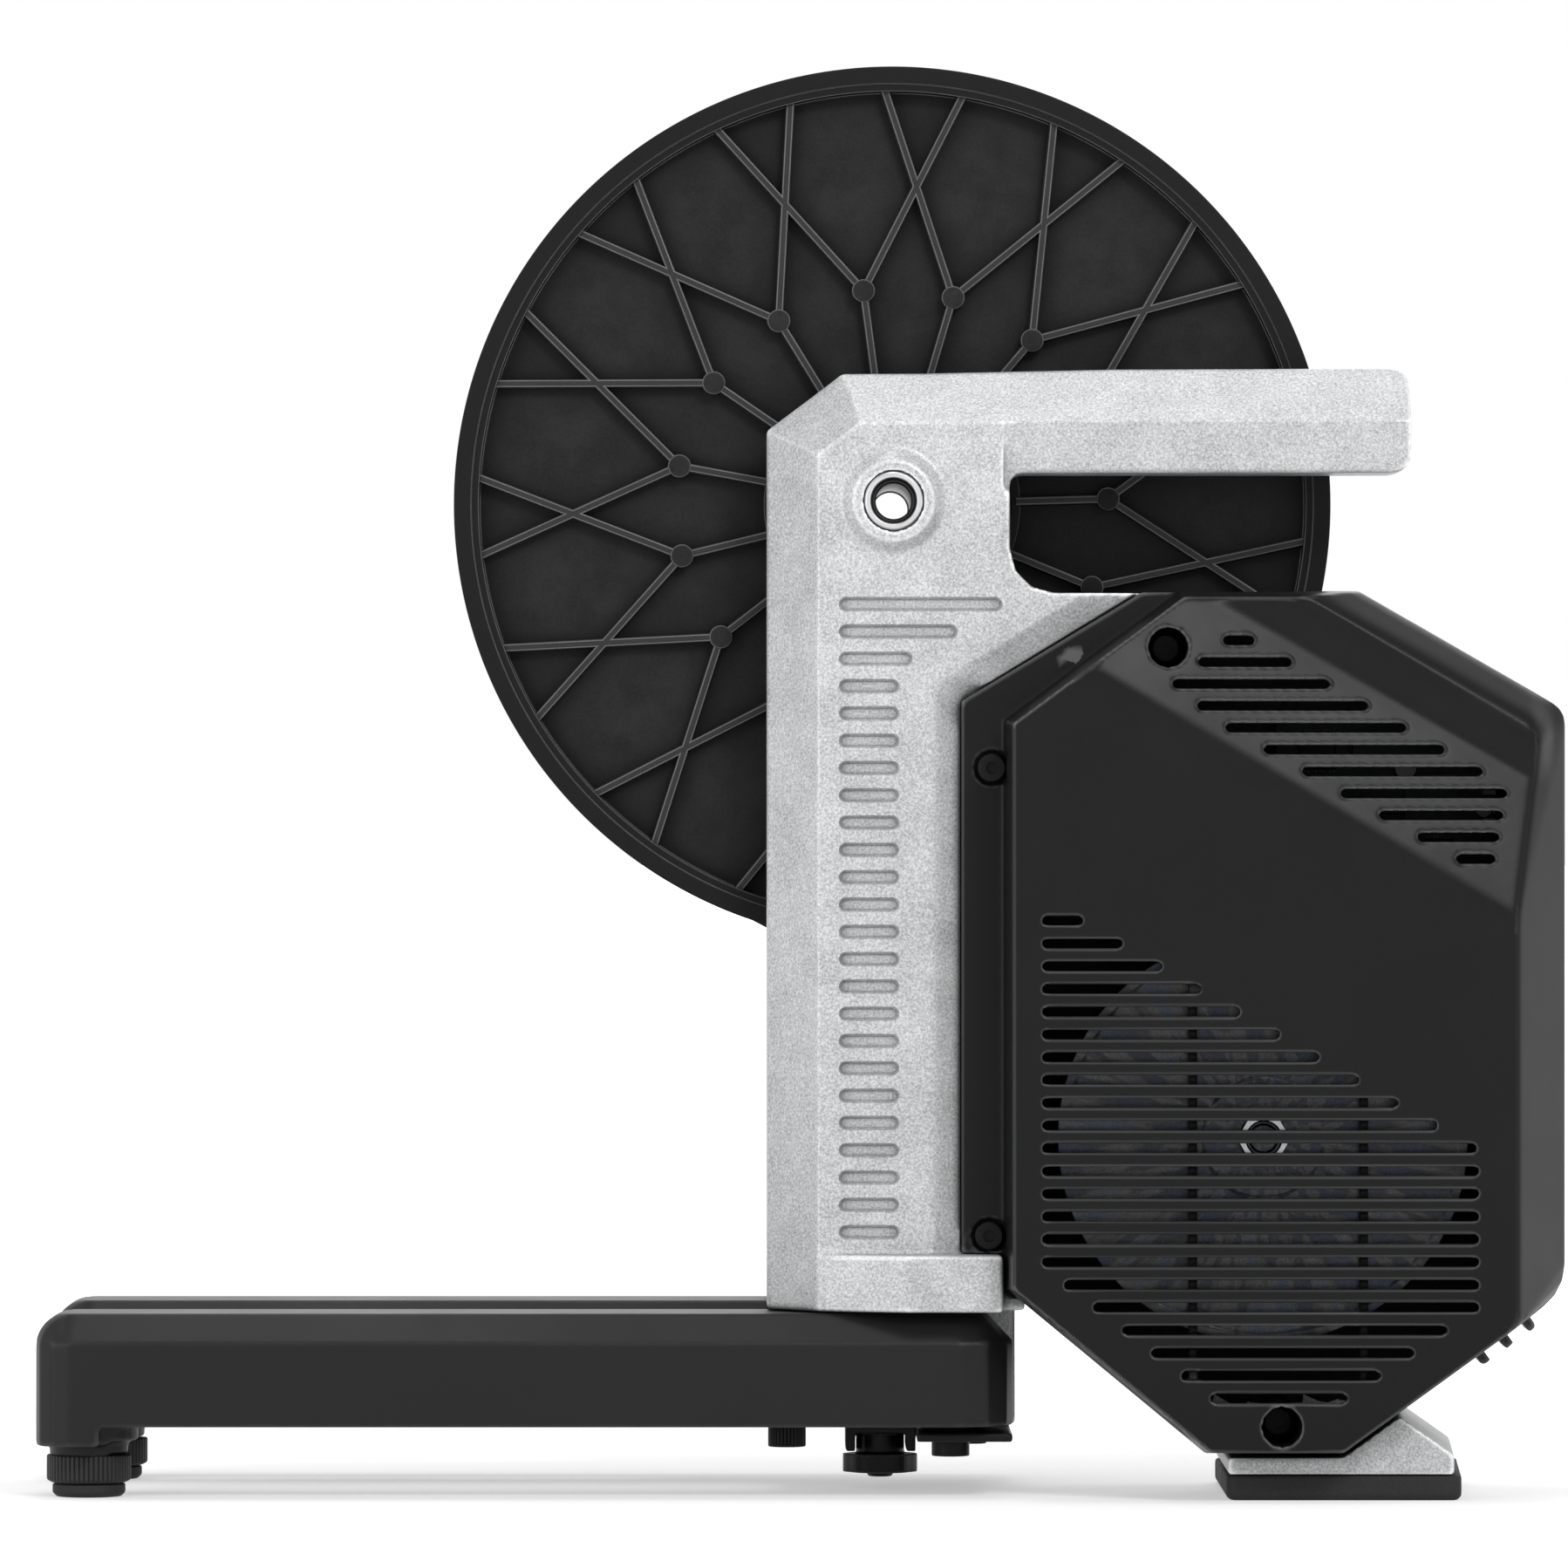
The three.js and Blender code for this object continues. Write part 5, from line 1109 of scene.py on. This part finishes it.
for _ in range(SMALL_PARTS):
    x, z = dice.uniform(135, 205), dice.uniform(215, 265)
    pins.append(block(x, z, dice.choice([1.0, 1.6]), 0.8, 0.6))
for x in (138, 205):
    pins += [block(x, 232 + 3.2 * k, 5, 2.2, 4) for k in range(5)]
board_parts = (("board_chips", chips, CHIP), ("board_pins", pins, TIN), ("board_cans", cans, TIN))
for name, meshes, material in board_parts:
    part = bpy.data.objects.new(name, crisp(together(meshes), 30))
    bpy.context.scene.collection.objects.link(part)
    part.data.materials.append(material)
    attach(part, BODY_OF["circuit_board"])

# What stays as the CAD has it gets its material alone.
for name, item in NODES.items():
    if item.hide_render:
        continue
    item.data.materials.clear()
    item.data.materials.append(MATERIAL_OF_SLOT[SLOT_OF[name]])

# Stage

FLOOR_REACH = 30


def background_rays(tree):
    """1 for rays that show the background: from the camera, a reflection or through glass."""
    rays = node(tree, "LightPath").outputs
    seen = computed(tree, "Math", "MAXIMUM", rays["Is Camera Ray"], rays["Is Glossy Ray"])
    return computed(tree, "Math", "MAXIMUM", seen, rays["Is Transmission Ray"])


floor_mesh = bpy.data.meshes.new("floor")
floor_mesh.from_pydata(
    [(x * FLOOR_REACH, y * FLOOR_REACH, 0) for x, y in ((-1, -1), (1, -1), (1, 1), (-1, 1))],
    [], [(0, 1, 2, 3)],
)
floor = bpy.data.objects.new("floor", floor_mesh)
bpy.context.scene.collection.objects.link(floor)
floor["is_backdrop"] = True
floor_material = bpy.data.materials.new("floor")
floor_material.use_nodes = True
floor_tree = floor_material.node_tree
floor_shader = floor_tree.nodes["Principled BSDF"]
for name, value in (
    ("Base Color", (0.82, 0.82, 0.82, 1)), ("Roughness", 0.9), ("Specular IOR Level", 0.1),
    ("Emission Color", (1, 1, 1, 1)),
):
    floor_shader.inputs[name].default_value = value
# The floor glows for the rays that show it, as white as the background from 1.6 m on.
away = computed(floor_tree, "VectorMath", "LENGTH", node(floor_tree, "TexCoord").outputs["Object"])
glow = computed(
    floor_tree, "Math", "MULTIPLY", background_rays(floor_tree), ranged(floor_tree, away, 0.5, 1.6, 0.42, 1.05))
floor_tree.links.new(glow, floor_shader.inputs["Emission Strength"])
floor_mesh.materials.append(floor_material)

world = bpy.data.worlds.new("studio")
bpy.context.scene.world = world
world.use_nodes = True
world_tree = world.node_tree
background = world_tree.nodes["Background"]
background.inputs["Color"].default_value = (1, 1, 1, 1)
strength = ranged(world_tree, background_rays(world_tree), 0, 1, 0.45, 1.0)
world_tree.links.new(strength, background.inputs["Strength"])


def lamp(name, place, target, size, power):
    data = bpy.data.lights.new(name, "AREA")
    data.shape = "RECTANGLE"
    data.size, data.size_y = size
    data.energy = power
    made = bpy.data.objects.new(name, data)
    bpy.context.scene.collection.objects.link(made)
    made.location = place
    made.rotation_euler = (Vector(target) - Vector(place)).to_track_quat("-Z", "Y").to_euler()
    return made


lamp("key", (1.38, -3.31, 2.5), (0.1, 0, 0.25), (1.0, 0.85), 65)
lamp("fill", (-2.2, -2.0, 0.9), (0, 0, 0.25), (1.6, 1.4), 26)
lamp("top", (-0.1, 0.0, 2.3), (0, 0, 0.2), (1.6, 0.45), 9)
lamp("side", (2.4, -1.3, 0.55), (0.15, 0, 0.22), (0.25, 1.4), 6)
lamp("back", (0.2, 2.2, 1.6), (0, 0, 0.25), (1.6, 1.2), 12)

# The photograph's camera, level and square to the near side
camera_data = bpy.data.cameras.new("camera")
camera_data.sensor_width = 36
camera_data.lens = 259.1
camera_data.clip_end = 100
camera = bpy.data.objects.new("camera", camera_data)
bpy.context.scene.collection.objects.link(camera)
camera.location = (-0.00565, -3.915, 0.2445)
camera.rotation_euler = (math.pi / 2, 0, 0)
bpy.context.scene.camera = camera
bpy.context.scene.view_settings.view_transform = "Standard"

low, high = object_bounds()
